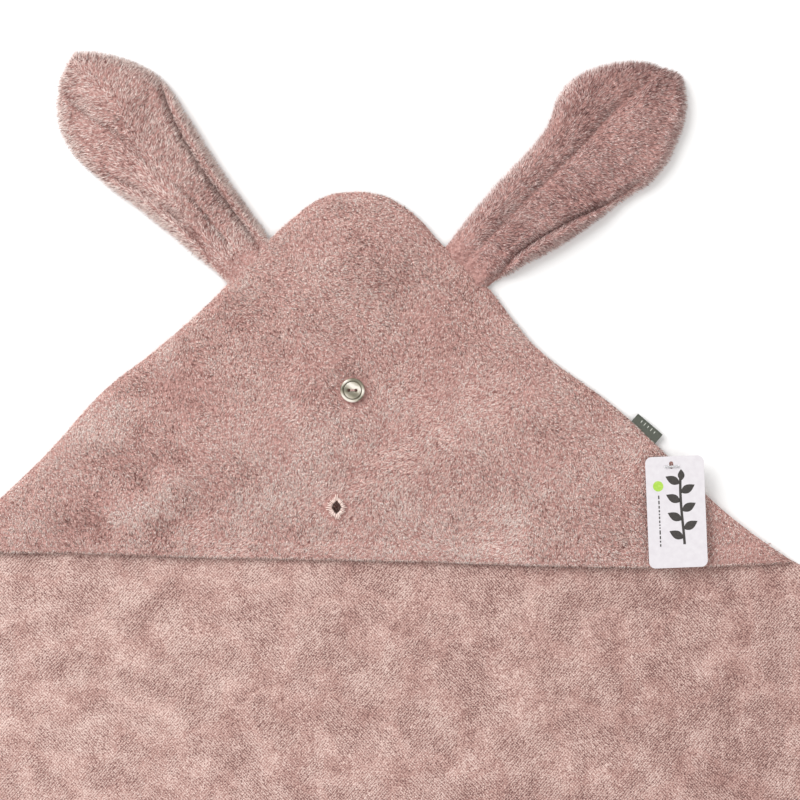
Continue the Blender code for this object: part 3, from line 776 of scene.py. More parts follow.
def hood_pile_length(root):
    """Share of the pile's full length: short round the eyelet, pressed down by button and card."""
    x, y = root[:, 0], root[:, 1]
    opening = 6.6 * MM
    hole = np.abs(x - EYELET.x) * 1.12 + np.abs(y - EYELET.y) * 0.95
    keep = np.where(hole < opening, 0.0, 0.2 + 0.8 * smooth((hole - opening - 2 * MM) / (5 * MM)))
    button = np.hypot(x - BUTTON.x, y - BUTTON.y)
    keep = keep * (0.2 + 0.8 * smooth((button - 7.5 * MM) / (4 * MM)))
    across, up = on_card(x, y)
    sides = np.minimum(across + CARD_LEFT + 1 * MM, CARD_WIDE - CARD_LEFT + 1 * MM - across)
    ends = np.minimum(up + CARD_LONG - CARD_TOP + 1 * MM, CARD_TOP + 1 * MM - up)
    keep = keep * (1 - 0.6 * smooth(np.minimum(sides, ends) / (3 * MM)))
    keep = keep * (0.6 + 0.4 * smooth((y - mouth_y(x)) / (6 * MM)))
    return keep * (0.8 + 0.2 * smooth(from_line(root[:, :2], HOOD_OUTLINE) / (4 * MM)))


def hood_painted_light(root):
    """Painted light and shade: paler low in the middle, a painted pool of light, and where the cloth is
    crumpled, paler on its ridges and darker in its hollows.
    """
    x, y = root[:, 0], root[:, 1]
    painted_light_pool = 0.75 * gauss((x - 45 * MM) / (120 * MM)) * gauss((y - 385 * MM) / (60 * MM))
    # The crumpled cloth's tone follows the same field as its creases' heights, so ridges are painted light
    # and hollows painted shade.
    return painted_light_pool + 1.5 * drift(x, y, CREASE_SIZE, CREASE_SEED) * crumple(x, y)


def diamond(centre, width, height, count=32):
    """A diamond with soft corners."""
    turns = np.arange(count) * math.tau / count
    c, s = np.cos(turns), np.sin(turns)
    sharp = 1.35  # 1 has straight sides and sharp corners, and 2 is a circle
    reach = (abs(c) ** sharp + abs(s) ** sharp) ** (-1 / sharp)
    return np.stack([centre[0] + 0.5 * width * reach * c, centre[1] + 0.5 * height * reach * s], -1)


def cutter(outline, low, high):
    """A closed upright prism, for cutting a hole; it is removed after the cut."""
    count = len(outline)
    mesh = bpy.data.meshes.new("cutter")
    points = np.concatenate([lifted(outline, np.full(count, low)), lifted(outline, np.full(count, high))])
    walls = [(k, (k + 1) % count, (k + 1) % count + count, k + count) for k in range(count)]
    mesh.from_pydata(points.tolist(), [], walls + [tuple(range(count))[::-1], tuple(range(count, 2 * count))])
    return show("cutter", mesh)


def pierced(piece, outlines, low, high):
    """The piece with a hole cut through it at each outline."""
    tools = [cutter(outline, low, high) for outline in outlines]
    for tool in tools:
        hole = piece.modifiers.new("hole", "BOOLEAN")
        hole.operation = "DIFFERENCE"
        hole.solver = "EXACT"
        hole.object = tool
    name = piece.name
    made = as_mesh(piece)
    for tool in tools:
        bpy.data.objects.remove(tool)
    made.name = name
    return made


PILE_LONG = 2.5 * MM
NAP_DOWN = -1.4  # which way the nap runs, in radians from straight across: down the hood
HOOD_TUFTS = 49000  # in each of the four pieces of its pile
HOOD_SEEDS = {"left": 100, "right": 200}
UPPER_ROWS = 88  # of the grid, that the upper piece of pile covers
for side in LEGS:
    top, under = hood_half(side)
    cloth = slab(f"hood_{side}_cloth", top, under, SHADED_GROUND)
    if side == "left":
        cloth = pierced(cloth, [diamond((EYELET.x, EYELET.y), 7.0 * MM, 9.2 * MM)], 2 * MM, 30 * MM)
    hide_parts("hood_panel")
    seed = HOOD_SEEDS[side]
    upper = pile(f"hood_{side}_upper_pile", top[: UPPER_ROWS + 1], HOOD_TUFTS, PILE_LONG, seed, HOOD_PLUSH,
                 keep=hood_pile_length, tone=hood_painted_light, tilt=NAP_DOWN)
    lower = pile(f"hood_{side}_lower_pile", top[UPPER_ROWS:], HOOD_TUFTS, PILE_LONG, seed + 20, HOOD_PLUSH,
                 keep=hood_pile_length, tone=hood_painted_light, tilt=NAP_DOWN)
    for piece in (cloth, upper, lower):
        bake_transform(piece)
    corners = top[:, :, :2].reshape(-1, 2)
    wide, long = [float(reach) for reach in np.ptp(corners, axis=0)]


def hood_top(x, y):
    """Height of the hood's cloth at one place."""
    return float(hood_heights(np.array([[x, y]]))[0][0])


def hood_hem_path():
    """The line of stitching that holds the turned hem of the mouth."""
    left, right = HOOD_OUTLINE[0], HOOD_OUTLINE[-1]
    x = np.linspace(left[0] + 14 * MM, right[0] - 14 * MM, 180)
    points = np.stack([x, mouth_y(x) + HEM], -1)
    return lifted(points, hood_heights(points)[0] - 0.05 * MM)


for side, part in (("left", slice(0, 91)), ("right", slice(90, 180))):
    hem = stitches(f"hood_{side}_hem_stitches", hood_hem_path()[part], HEM_PITCH, 2.5 * MM, 0.6 * MM, THREAD)
    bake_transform(hem)
    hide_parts("hood_hem_thread")
    run = leg_edge(side, np.linspace(0.002, 0.995, 60), PILE_REACH + 4 * MM)
    run = lifted(run, np.full(60, SEAM_Z))
    seam = stitches(f"hood_{side}_leg_seam", run, HEM_PITCH, 2.6 * MM, 0.4 * MM, THREAD)
    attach(seam, "towel")
    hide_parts(f"hood_seam_{side}")

# ---- ears -------------------------------------------------------------------------
# For each ear, in mm: where its root's middle is along and out from its leg's seat, how far
# it leans in degrees, its half widths either side at distances from the root, and its two
# folds and crease, at distances from the root and across to the right. Then how far from the
# root each fold ends, as what share of the full depth, the crease's depth and width, and a
# soft hollow: how far out, how far across, its depth, length and width.
EARS = {
    "left": {
        "root": (1.7, 3.9),
        "lean": -3.8,
        "right": [(-12, 20), (0, 21), (26, 22), (60, 25), (95, 29.5), (121, 31), (138, 24.5), (150, 17),
                  (160, 9), (166, 1.5)],
        "left": [(-12, 18), (0, 18.5), (26, 22.5), (60, 29), (95, 37.5), (118, 40), (138, 35), (150, 27),
                 (160, 16), (166, 3)],
        "folds": [[(-12, 12), (28, 13.7), (62, 15.5), (94, 21.1), (120, 29)],
                  [(-12, -11.5), (10, -13.5), (41, -14.8), (73, -22.4), (92, -31)]],
        "crease": [(-12, -1), (24, -1.3), (47, -1.3), (76, -6), (112, -12.7), (133, -19), (150, -22)],
        "fold_ends": (124, 96),
        "fold_deep": (1.15, 0.9),
        "crease_shape": (2.3, 1.3),
        "hollow": (134, -22, 2.0, 12, 8),
    },
    "right": {
        "root": (-0.9, 6.2),
        "lean": 2.8,
        "right": [(-12, 19), (0, 19.5), (26, 26), (43, 32), (60, 36), (95, 42), (115, 46.5), (130, 45.5),
                  (147, 39.5), (160, 33), (168, 26.5), (175, 17)],
        "left": [(-12, 18.5), (0, 19.5), (26, 21), (60, 22), (95, 24.5), (112, 31), (121, 32.5), (130, 31.5),
                 (147, 24), (160, 14), (168, 5), (175, -10)],
        "folds": [[(-12, 18), (0, 17.5), (22, 16.7), (61, 26.3), (83, 34.3), (108, 40.6)],
                  [(-12, -13), (30, -15), (80, -17), (112, -23)]],
        "crease": [(-12, -2), (36, -2.2), (59, -1.6), (103, 0.3), (127, -0.4), (155, 2)],
        "fold_ends": (118, 108),
        "fold_deep": (1.0, 0.3),
        "crease_shape": (2.3, 3.0),
        "hollow": (136, 0, 2.8, 22, 9),
    },
}
EAR_TUCK = 9 * MM  # how far the raw ends run into the leg seam
EAR_MIDDLE = 3.7 * MM  # height of the seam round the ear
EAR_DEEP = 3.8 * MM  # depth of the two folds
FOLD_WIDE = 1.9 * MM


def ear_frame(side):
    """The middle of an ear's root, and its directions along and across."""
    along, out = LEGS[side]
    lean = math.radians(EARS[side]["lean"])
    forward = out * math.cos(lean) + along * math.sin(lean)
    root = SEATS[side] + (along * EARS[side]["root"][0] + out * EARS[side]["root"][1]) * MM
    return flat(root), flat(forward), np.array((forward.y, -forward.x))


def ear_grid(side, rows=84, columns=61):
    """Points of the ear's plan, with their distance from the root and across."""
    ear = EARS[side]
    root, forward, right = ear_frame(side)
    tip = ear["right"][-1][0] * MM - PILE_REACH
    # The last three tenths of the rows stand closer and closer together, round the tip.
    share = np.linspace(0, 1, rows)
    left_over = np.clip((1 - share) / 0.3, 0, 1)
    share = np.where(share < 0.7, share * 1.12, 0.784 + (1 - left_over**1.4) * 0.216)
    length = -EAR_TUCK + (tip + EAR_TUCK) * share
    reach = length + PILE_REACH * smooth((length - 0.8 * tip) / (0.2 * tip))
    right_half, left_half = [through(ear[edge], reach) - PILE_REACH for edge in ("right", "left")]
    middle = 0.5 * (right_half - left_half)
    half = np.maximum(0.5 * (right_half + left_half), 0.2 * MM)
    spread = np.sin(0.5 * math.pi * np.linspace(-1, 1, columns))
    across = middle[:, None] + half[:, None] * spread[None]
    length = np.repeat(length[:, None], columns, 1)
    points = root + forward * length[..., None] + right * across[..., None]
    outline = np.concatenate([points[:, 0], points[-1], points[::-1, -1]])
    edge = from_line(points.reshape(-1, 2), outline).reshape(length.shape)
    return points, length, across, edge


def ear_layers(side):
    """Front top and under, back top and under, of an ear's two layers of cloth."""
    ear = EARS[side]
    points, length, across, edge = ear_grid(side)
    x, y = points[..., 0], points[..., 1]
    # The ear is sewn in flat, and fills out over its first 26 mm.
    body = 0.3 + 0.7 * smooth((length + 4 * MM) / (26 * MM))
    full = rolled(edge, 6 * MM)
    loft = 6.0 * MM * full * (0.4 + 0.6 * body) + 0.9 * MM * gauss((edge - 5 * MM) / (3.5 * MM)) * body
    for fold, ends, deep in zip(ear["folds"], ear["fold_ends"], ear["fold_deep"]):
        gone = deep * smooth((ends * MM - length) / (16 * MM)) * (0.6 + 0.4 * body)
        off = across - through(fold, length)
        outward = off * np.sign(fold[-1][1])
        # A sharp valley, with the cloth rolled up on its outer side.
        loft = loft - EAR_DEEP * gone * gauss(off / FOLD_WIDE)
        loft = loft + 2.0 * MM * gone * gauss((outward - 4.6 * MM) / (2.6 * MM)) * full
        loft = loft + 1.0 * MM * gone * gauss((outward + 5 * MM) / (3.5 * MM)) * full
    crease = across - through(ear["crease"], length)
    deep, wide = ear["crease_shape"]
    loft = loft - deep * MM * gauss(crease / (wide * MM)) * smooth((edge - 4 * MM) / (8 * MM)) * body
    far, aside, deep, long, wide = ear["hollow"]
    hollow = gauss((length - far * MM) / (long * MM)) * gauss((across - aside * MM) / (wide * MM))
    loft = loft - deep * MM * hollow * full
    loft = loft + (0.8 * drift(x, y, 30 * MM, 41) + 0.4 * drift(x, y, 14 * MM, 42)) * MM * full * body
    top = EAR_MIDDLE + 0.1 * MM + loft
    back_under = EAR_MIDDLE - (EAR_MIDDLE - 0.3 * MM) * full * body
    back_top = np.minimum(back_under + 2.6 * MM * full, EAR_MIDDLE - 0.1 * MM)
    under = np.maximum(top - 2.8 * MM * full, back_top + 0.15 * MM)
    layers = [np.concatenate([points, z[..., None]], -1) for z in (top, under, back_top, back_under)]
    return layers, points


def on_ear(side, place):
    """How far along the ear and across it each place is."""
    root, forward, right = ear_frame(side)
    away = place[:, :2] - root
    return away @ forward, away @ right


def ear_pile_length(side):
    """Share of the pile's full length: shorter near the root, and pressed down in the folds."""
    ear = EARS[side]

    def keep(place):
        length, across = on_ear(side, place)
        long = 0.35 + 0.65 * smooth((length + 2 * MM) / (14 * MM))
        for fold, ends, deep in zip(ear["folds"], ear["fold_ends"], ear["fold_deep"]):
            gone = min(deep, 1) * smooth((ends * MM - length) / (16 * MM))
            long = long * (1 - 0.4 * gone * gauss((across - through(fold, length)) / FOLD_WIDE))
        crease = gauss((across - through(ear["crease"], length)) / (1.2 * MM))
        return long * (1 - 0.35 * crease)

    return keep


def ear_flow(side):
    """The ear's nap: along it in the middle, outwards at its sides."""
    _, forward, right = ear_frame(side)

    def flow(place):
        length, across = on_ear(side, place)
        along = 0.35 + 0.4 * np.clip(length / (150 * MM), 0, 1)
        outwards = np.clip(across / (24 * MM), -1.3, 1.3)
        return forward * along[:, None] + right * outwards[:, None]

    return flow


def ear_tone(side):
    """The fringe round the ear is paler, where light comes through it."""
    ear = EARS[side]

    def tone(place):
        length, across = on_ear(side, place)
        from_right = through(ear["right"], length) - PILE_REACH - across
        from_left = through(ear["left"], length) - PILE_REACH + across
        return 1.3 * (1 - smooth(np.minimum(from_right, from_left) / (7 * MM)))

    return tone


EAR_TUFTS = {"front": 24000, "back": 11000}
EAR_PILE = {"front": 3.3 * MM, "back": 2.4 * MM}
EAR_SEEDS = {"left": 300, "right": 400}
TUFT_PLUMP = 0.28 * MM  # tufts are plumper on the ears than on the hood
for side in LEGS:
    (top, under, back_top, back_under), points = ear_layers(side)
    front = slab(f"ear_{side}_front_cloth", top, under, SHADED_GROUND)
    back = slab(f"ear_{side}_back_cloth", back_top, back_under, SHADED_GROUND)
    seed = EAR_SEEDS[side]
    plush = {"keep": ear_pile_length(side), "flow": ear_flow(side), "tone": ear_tone(side)}
    front_pile = pile(f"ear_{side}_front_pile", top, EAR_TUFTS["front"], EAR_PILE["front"], seed,
                      EAR_PLUSH[side], width=TUFT_PLUMP, **plush)
    back_pile = pile(f"ear_{side}_back_pile", back_under[:, ::-1], EAR_TUFTS["back"], EAR_PILE["back"],
                     seed + 50, EAR_PLUSH[side], width=TUFT_PLUMP, lean=0.85, **plush)
    # The seam runs just inside the outline, up one side, round the tip and down the other.
    rim = np.concatenate([points[6:, 5], points[-3, 6:-6], points[:5:-1, -6]])
    rim = lifted(rim, np.full(len(rim), EAR_MIDDLE))
    seam = stitches(f"ear_{side}_seam_stitches", rim, HEM_PITCH, 2.6 * MM, 0.3 * MM, THREAD)
    for piece in (front, back, front_pile, back_pile, seam):
        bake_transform(piece)
    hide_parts(f"ear_{side}_front")
    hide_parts(f"ear_{side}_back")
    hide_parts(f"ear_{side}_seam")
    wide = (EARS[side]["right"][5][1] + EARS[side]["left"][5][1]) * MM
    long = EARS[side]["right"][-1][0] * MM + EAR_TUCK


# ---- button -------------------------------------------------------------------------
def polished_river_shell():
    """Button blank cut from river shell, turned and polished.

    Soft silvery and olive bands show under a wet-looking gloss: partly its growth layers, partly painted
    highlight and painted reflection.
    """
    made, shader = finish("polished_river_shell", "c2b8a6", 0.22, coat_weight=0.6, coat_roughness=0.08)
    tree = made.node_tree
    place = add_node(tree, "TexCoord")
    bend = add_node(tree, "TexNoise", {"Vector": (place, "Object"), "Scale": 160, "Detail": 2.0})
    moved = add_node(tree, "VectorMath", {0: (bend, "Color"), "Scale": 0.003}, operation="SCALE")
    around = add_node(tree, "VectorMath", {0: (place, "Object"), 1: (moved, "Vector")}, operation="ADD")
    tilted = add_node(tree, "Mapping", {"Vector": (around, "Vector"), "Rotation": (0, 0, math.radians(-62))})
    # Broad bands about 9 mm apart: growth layers, and painted highlight bands across the face.
    layers = add_node(tree, "TexWave", {"Vector": (tilted, "Vector"), "Scale": bands(9 * MM)})
    stops = [(0.05, "6f6a58"), (0.45, "a39c8a"), (0.75, "c4bcae"), (0.97, "e4ddd2")]
    coloured(tree, shader, (layers, "Fac"), stops)
    rough = add_node(tree, "MapRange", {"Value": (layers, "Fac"), "To Min": 0.3, "To Max": 0.14})
    tree.links.new(rough.outputs["Result"], shader.inputs["Roughness"])
    relieved(tree, shader, (layers, "Fac"), 0.25, 0.08 * MM)
    return made


# The turned groove round the button, left unpolished and dull, and painted dark as painted shade in the
# groove.
SHELL_GROOVE_SHADE = grained("unpolished_shell_groove", "6b6555", 0.8, 900, [(0.3, "4d483b"), (0.7, "7b7464")])
BUTTON_LOW, BUTTON_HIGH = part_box("shell_button")
BUTTON_RADIUS = 0.5 * (BUTTON_HIGH.x - BUTTON_LOW.x)
BUTTON_TALL = BUTTON_HIGH.z - BUTTON_LOW.z
# Its turned outline and its groove, as shares of its radius and height.
GROOVE_INSIDE, GROOVE_OUTSIDE = 0.695, 0.755
BUTTON_TURNED = [
    (0, 0.62), (0.30, 0.60), (0.56, 0.66), (0.65, 0.74), (0.69, 0.74), (0.71, 0.56), (0.74, 0.54),
    (0.77, 0.70), (0.80, 0.88), (0.85, 0.97), (0.895, 1.0), (0.94, 0.96), (0.975, 0.86), (1.0, 0.68),
    (1.0, 0.44), (0.985, 0.30), (0.95, 0.16), (0.88, 0.05), (0.80, 0.0), (0.4, 0.0), (0, 0.0),
]
outline = [(out * BUTTON_RADIUS, up * BUTTON_TALL) for out, up in BUTTON_TURNED]
button = revolved("shell_button_turned", outline, 96, polished_river_shell())
button.location = (BUTTON.x, BUTTON.y, BUTTON_LOW.z)
button = as_mesh(button)
button.data.materials.append(SHELL_GROOVE_SHADE)
# Faces in the groove take its painted shade.
for face in button.data.polygons:
    share = math.hypot(face.center.x, face.center.y) / BUTTON_RADIUS
    if GROOVE_INSIDE < share < GROOVE_OUTSIDE and face.center.z > 0.5 * BUTTON_TALL:
        face.material_index = 1
HOLE_PITCH = 4.1 * MM
HOLE_RADIUS = 0.95 * MM
ring = np.linspace(0, math.tau, 28, endpoint=False)
ring = HOLE_RADIUS * np.stack([np.cos(ring), np.sin(ring)], -1)
rings = [ring + (BUTTON.x + way * 0.5 * HOLE_PITCH, BUTTON.y) for way in (-1, 1)]
button = pierced(button, rings, BUTTON_LOW.z - BUTTON_TALL, BUTTON_HIGH.z + BUTTON_TALL)
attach(button, "button")
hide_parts("shell_button")

# Four strands over the bridge between its holes, and a shank of thread wound round under it.
foot = hood_top(BUTTON.x, BUTTON.y) - 0.4 * MM
crown = BUTTON_LOW.z + 0.62 * BUTTON_TALL + 0.45 * MM
strands = []
for k, (aside, lift) in enumerate(((-0.42, 0.0), (0.42, 0.05), (-0.12, 0.38), (0.2, 0.42))):
    arc = []
    for t in np.linspace(0, 1, 15):
        x = BUTTON.x - math.cos(math.pi * t) * (0.5 * HOLE_PITCH - 0.55 * MM)
        over = float(smooth(math.sin(math.pi * t) * 1.5))
        arc.append((x, BUTTON.y + aside * MM, foot + (crown + lift * MM - foot) * over))
    strands.append(as_mesh(strand(f"strand_{k}", arc, 0.36 * MM, THREAD)))
SHANK_TURNS = 4
SHANK_TALL = 1.2 * MM
shank = []
for a in np.linspace(0, math.tau * SHANK_TURNS, 70):
    z = foot + 0.3 * MM + SHANK_TALL * a / (math.tau * SHANK_TURNS)
    shank.append((BUTTON.x + 1.5 * MM * math.cos(a), BUTTON.y + 0.9 * MM * math.sin(a), z))
strands.append(as_mesh(strand("shank", shank, 0.42 * MM, THREAD)))
button_thread = joined("button_sewing", strands)
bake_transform(button_thread)
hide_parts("button_thread")


# ---- eyelet ---------------------------------------------------------------------------
# Mercerised buttonhole thread: round, smooth and slightly silky, paler than the cloth.
MERCERISED = grained("mercerised_thread", "f2dcd2", 0.5, 900, [(0.3, "e9cfc6"), (0.7, "fbe8df")],
                     (0.4, 0.1 * MM), sheen_weight=0.3, sheen_roughness=0.3)
LOOPS = 34
outer = diamond((EYELET.x, EYELET.y), 12.4 * MM, 15.6 * MM, LOOPS)
inner = diamond((EYELET.x, EYELET.y), 6.4 * MM, 8.6 * MM, LOOPS)
eyelet_top = hood_top(EYELET.x + 5 * MM, EYELET.y) + 1.9 * MM
eyelet_under = eyelet_top - 5.2 * MM
# Each loop of thread goes over the edge of the hole and back under the cloth: shares of the
# way from its outer to its inner end, heights from the eyelet's top or underside in mm, and
# over the top how much of its own unevenness it takes there.
OVER = [(0, -1.1, 0), (0.25, -0.15, 1), (0.6, 0, 1), (0.9, -0.35, 0), (1, -1.1, 0)]
UNDER = [(1, 1), (0.6, 0), (0, 1)]
rng = np.random.default_rng(77)
loops = []
for k in range(LOOPS):
    out_xy = outer[k] + (outer[k] - flat(EYELET)) * rng.uniform(-0.16, 0.1)
    in_xy = inner[k] + rng.normal(0, 0.12 * MM, 2)
    tall = rng.normal(0, 0.12 * MM)
    path = []
    for way, z, uneven in OVER:
        path.append((*((1 - way) * out_xy + way * in_xy), eyelet_top + z * MM + uneven * tall))
    for way, z in UNDER:
        path.append((*((1 - way) * out_xy + way * in_xy), eyelet_under + z * MM))
    loops.append(as_mesh(strand(f"loop_{k}", path, 0.62 * MM, MERCERISED, closed=True, sides=2)))
eyelet = joined("eyelet_stitches", loops)
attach(eyelet, "hood")
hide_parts("eyelet_thread")


# ---- side label -------------------------------------------------------------------------
def woven_satin_tape():
    """Polyester satin tape, woven in dark olive grey: fine ribs across it and a soft lustre."""
    made, shader = finish("woven_satin_tape", "4f534a", 0.5, sheen_weight=0.3, sheen_roughness=0.4)
    tree = made.node_tree
    place = add_node(tree, "TexCoord")
    turn = (0, 0, -math.atan2(RIGHT_LEG.y, RIGHT_LEG.x))
    turned = add_node(tree, "Mapping", {"Vector": (place, "Object"), "Rotation": turn})
    # Ribs 0.5 mm apart; a real tape has them twice as fine.
    ribs = add_node(tree, "TexWave", {"Vector": (turned, "Vector"), "Scale": bands(0.5 * MM)})
    weft = add_node(tree, "TexWave", {"Vector": (turned, "Vector"), "Scale": bands(0.6 * MM)},
                    bands_direction="Y")
    weave = add_node(tree, "Math", {0: (ribs, "Fac"), 1: (weft, "Fac")}, operation="MULTIPLY")
    coloured(tree, shader, (weave, "Value"), [(0.0, "3e423a"), (0.8, "626659")])
    relieved(tree, shader, (weave, "Value"), 0.6, 0.12 * MM)
    return made


# Undyed polyester yarn floated on the label's face: small pale marks with a slight shine.
BLEACHED_WEFT = grained("bleached_weft", "c9cbc2", 0.45, 1500, [(0.3, "b3b5ab"), (0.7, "d9dbd3")],
                        detail=1.0, sheen_weight=0.2)
LABEL_SEAT = Vector(JOINT["label_flip"]["pos_m"])
LABEL_WIDE, LABEL_OUT = 20 * MM, 6 * MM
LABEL_TUCK = 3 * MM  # how far its ends run in under the towel's hem
TAPE_LIFT = 0.42 * MM  # from the middle of the folded label to the middle of each layer


def label_layer(thick):
    """The tape out over the top, round its fold and back underneath."""
    across = np.linspace(-0.5, 0.5, 33)[None] * LABEL_WIDE
    way = 2 * np.linspace(0, 1, 25)[:, None]
    straight = LABEL_OUT + LABEL_TUCK - 0.45 * MM
    out = np.where(way < 1, way * straight, (2 - way) * straight)
    turn = np.clip((way - 0.93) / 0.14, 0, 1) * math.pi
    folded = (turn > 0) & (turn < math.pi)
    nose = straight * 0.93 + 0.07 * straight * np.sin(turn) ** 0.5
    out = np.where(folded, nose, np.minimum(out, straight * 0.93))
    z = TAPE_LIFT * np.where(folded, np.cos(turn), np.where(way < 1, 1.0, -1.0))
    z = z * (1 + thick)
    x, y = np.broadcast_arrays(across, out - LABEL_TUCK)
    bend = 0.5 * MM * (y / LABEL_OUT) ** 2 * np.sin(x / LABEL_WIDE * 3.0 + 0.4)
    place = flat(LABEL_SEAT) + x[..., None] * flat(RIGHT_LEG) + (y - 1.2 * MM)[..., None] * flat(RIGHT_OUT)
    return np.concatenate([place, (LABEL_SEAT.z + z + bend)[..., None]], -1)


label = slab("woven_side_label", label_layer(0.45), label_layer(-0.35), woven_satin_tape())
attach(label, "label")
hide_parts("side_label")

# Five plain bars stand for its woven marks: how far along the label and how tall, in mm.
marks = []
for k, (place, tall) in enumerate(((-5.2, 1.5), (-2.6, 2.1), (0.0, 1.5), (2.6, 2.1), (5.2, 1.5))):
    bend = 0.14 * MM * (3.1 / 6) * math.sin(place / 20 * 3.0 + 0.4)
    middle = LABEL_SEAT + RIGHT_LEG * place * MM + RIGHT_OUT * 2.0 * MM + Vector((0, 0, 0.72 * MM + bend))
    ends = [middle + RIGHT_OUT * way * 0.5 * tall * MM for way in (-1, 1)]
    marks.append(as_mesh(strand(f"mark_{k}", ends, 0.5 * MM, sides=2)))
label_marks = joined("label_woven_marks", marks)
label_marks.data.materials.append(BLEACHED_WEFT)
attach(label_marks, "label")


# ---- hang tag ---------------------------------------------------------------------------
# Bleached board with a matt clay coating: near white, with a faint grain and a soft shine.
CARD = grained("coated_card", "d6d1d6", 0.42, 260, [(0.3, "d2cdd2"), (0.7, "dad6da")], (0.12, 0.05 * MM),
               detail=4.0, coat_weight=0.15, coat_roughness=0.3)
# Offset ink on coated board: flat and slightly glossy, thinner where the grain shows through.
INK = grained("offset_ink_black", "241f1c", 0.35, 1200, [(0.35, "241f1c"), (0.75, "3a342f")])
GREEN_INK = grained("offset_ink_green", "9cc63c", 0.35, 1200, [(0.35, "9cc63c"), (0.75, "b4d65c")])


def rounded_rectangle(left, right, bottom, top, radius):
    """The outline of a rectangle with round corners, anticlockwise from its right side."""
    outline = []
    for x, y, start in ((right, top, 0), (left, top, 90), (left, bottom, 180), (right, bottom, 270)):
        x += -radius if x == right else radius
        y += -radius if y == top else radius
        for a in np.radians(np.linspace(start, start + 90, 11)):
            outline.append((x + radius * math.cos(a), y + radius * math.sin(a)))
    return outline


def cut_shape(name, outlines, thick, finish_of, edge=0.0):
    """A flat shape of these outlines, its underside at its own z = 0."""
    curve = bpy.data.curves.new(name, "CURVE")
    curve.dimensions = "2D"
    curve.fill_mode = "BOTH"
    curve.extrude = 0.5 * thick - edge
    curve.bevel_depth = edge
    curve.bevel_resolution = 2
    curve.offset = -edge
    for outline in outlines:
        add_line(curve, [(x, y, 0) for x, y in outline], closed=True)
    made = show(name, curve, finish_of)
    made.location.z = 0.5 * thick
    return as_mesh(made)


def on_tag(piece, lift):
    """Lays a piece made round the tag's hole in its place on the card."""
    piece.data.transform(piece.matrix_world)
    piece.matrix_world = Matrix()
    for corner in piece.data.vertices:
        # The card is a little dished across, and its lower end curls up.
        across = corner.co.x / (0.5 * CARD_WIDE)
        along = (CARD_TOP - corner.co.y) / CARD_LONG
        corner.co.z += lift + 0.14 * MM * across**2 + 1.12 * MM * max(along - 0.55, 0) ** 2
    piece.data.transform(Matrix.Translation((FASTENER.x, FASTENER.y, 0)) @ Matrix.Rotation(TAG_TURN, 4, "Z"))
    return piece


def dense(piece, size):
    """Cuts a flat piece across every so often, so that it can take a curl."""
    shape = bmesh.new()
    shape.from_mesh(piece.data)
    for normal in (Vector((0, 1, 0)), Vector((1, 0, 0))):
        reach = [corner.co.dot(normal) for corner in shape.verts]
        cut = min(reach) + size
        while cut < max(reach):
            everything = shape.verts[:] + shape.edges[:] + shape.faces[:]
            bmesh.ops.bisect_plane(shape, geom=everything, plane_co=normal * cut, plane_no=normal)
            cut += size
    shape.to_mesh(piece.data)
    shape.free()
    return piece


edge = rounded_rectangle(-CARD_LEFT, CARD_WIDE - CARD_LEFT, CARD_TOP - CARD_LONG, CARD_TOP, 4 * MM)
TURNS = np.linspace(0, math.tau, 33)[:-1]
# The hole is long enough for the card to lift round the fastener.
SLOT_RADIUS, SLOT_LONGER = 1.3 * MM, 1.9 * MM
hole = []
for a in TURNS:
    longer = SLOT_LONGER if math.sin(a) > 0 else 0
    hole.append((SLOT_RADIUS * math.cos(a), SLOT_RADIUS * math.sin(a) + longer))
CURL_STEP = 4 * MM
card = cut_shape("tag_card", [edge, hole], CARD_THICK, CARD, edge=0.06 * MM)
card = on_tag(dense(card, CURL_STEP), CARD_UNDER)
card.data.shade_flat()
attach(card, "tag")
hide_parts("hang_tag")


def leaf(centre, length, width, turn):
    """A pointed leaf's outline."""
    side = [(length * (t - 0.5), 0.5 * width * math.sin(math.pi * t**0.85)) for t in np.linspace(0, 1, 12)]
    outline = side + [(x, -y) for x, y in side[-2:0:-1]]
    c, s = math.cos(turn), math.sin(turn)
    return [(centre[0] + c * x - s * y, centre[1] + s * x + c * y) for x, y in outline]


def printed(name, outlines, ink):
    """Ink on the card's face, drawn a little thicker than real ink so that it stands clear."""
    parts = [cut_shape(f"{name}_{k}", [outline], 0.04 * MM, ink) for k, outline in enumerate(outlines)]
    whole = joined(name, parts)
    whole = on_tag(dense(whole, CURL_STEP), CARD_UNDER + CARD_THICK)
    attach(whole, "tag")
    return whole


# A plain sprig of leaves, all measured from the hole.
STEM_X = 5.6 * MM


def stem_x(y):
    """The stem's gentle waver."""
    return STEM_X + 0.7 * MM * math.sin(y * 90)


stem = np.linspace(-7, -48, 20) * MM
stem_sides = [[(stem_x(y) + half, y) for y in stem] for half in (-0.8 * MM, 0.8 * MM)]
sprig = [stem_sides[0] + stem_sides[1][::-1]]
for k in range(7):
    y = (-10.5 - 5.6 * k) * MM
    way = 1 if k % 2 else -1
    turn = math.radians(28 if way > 0 else 152)
    sprig.append(leaf((stem_x(y) + way * 4.6 * MM, y + 2.2 * MM), 9.8 * MM, 5.2 * MM, turn))
sprig.append(leaf((STEM_X + 0.2 * MM, -5.2 * MM), 7.0 * MM, 4.2 * MM, math.radians(90)))
printed("tag_print_sprig", sprig, INK)
DOT_X, DOT_Y, DOT_RADIUS = -8.6 * MM, -11.8 * MM, 3.2 * MM
dot = [(DOT_X + DOT_RADIUS * math.cos(a), DOT_Y + DOT_RADIUS * math.sin(a)) for a in TURNS]
printed("tag_print_dot", [dot], GREEN_INK)
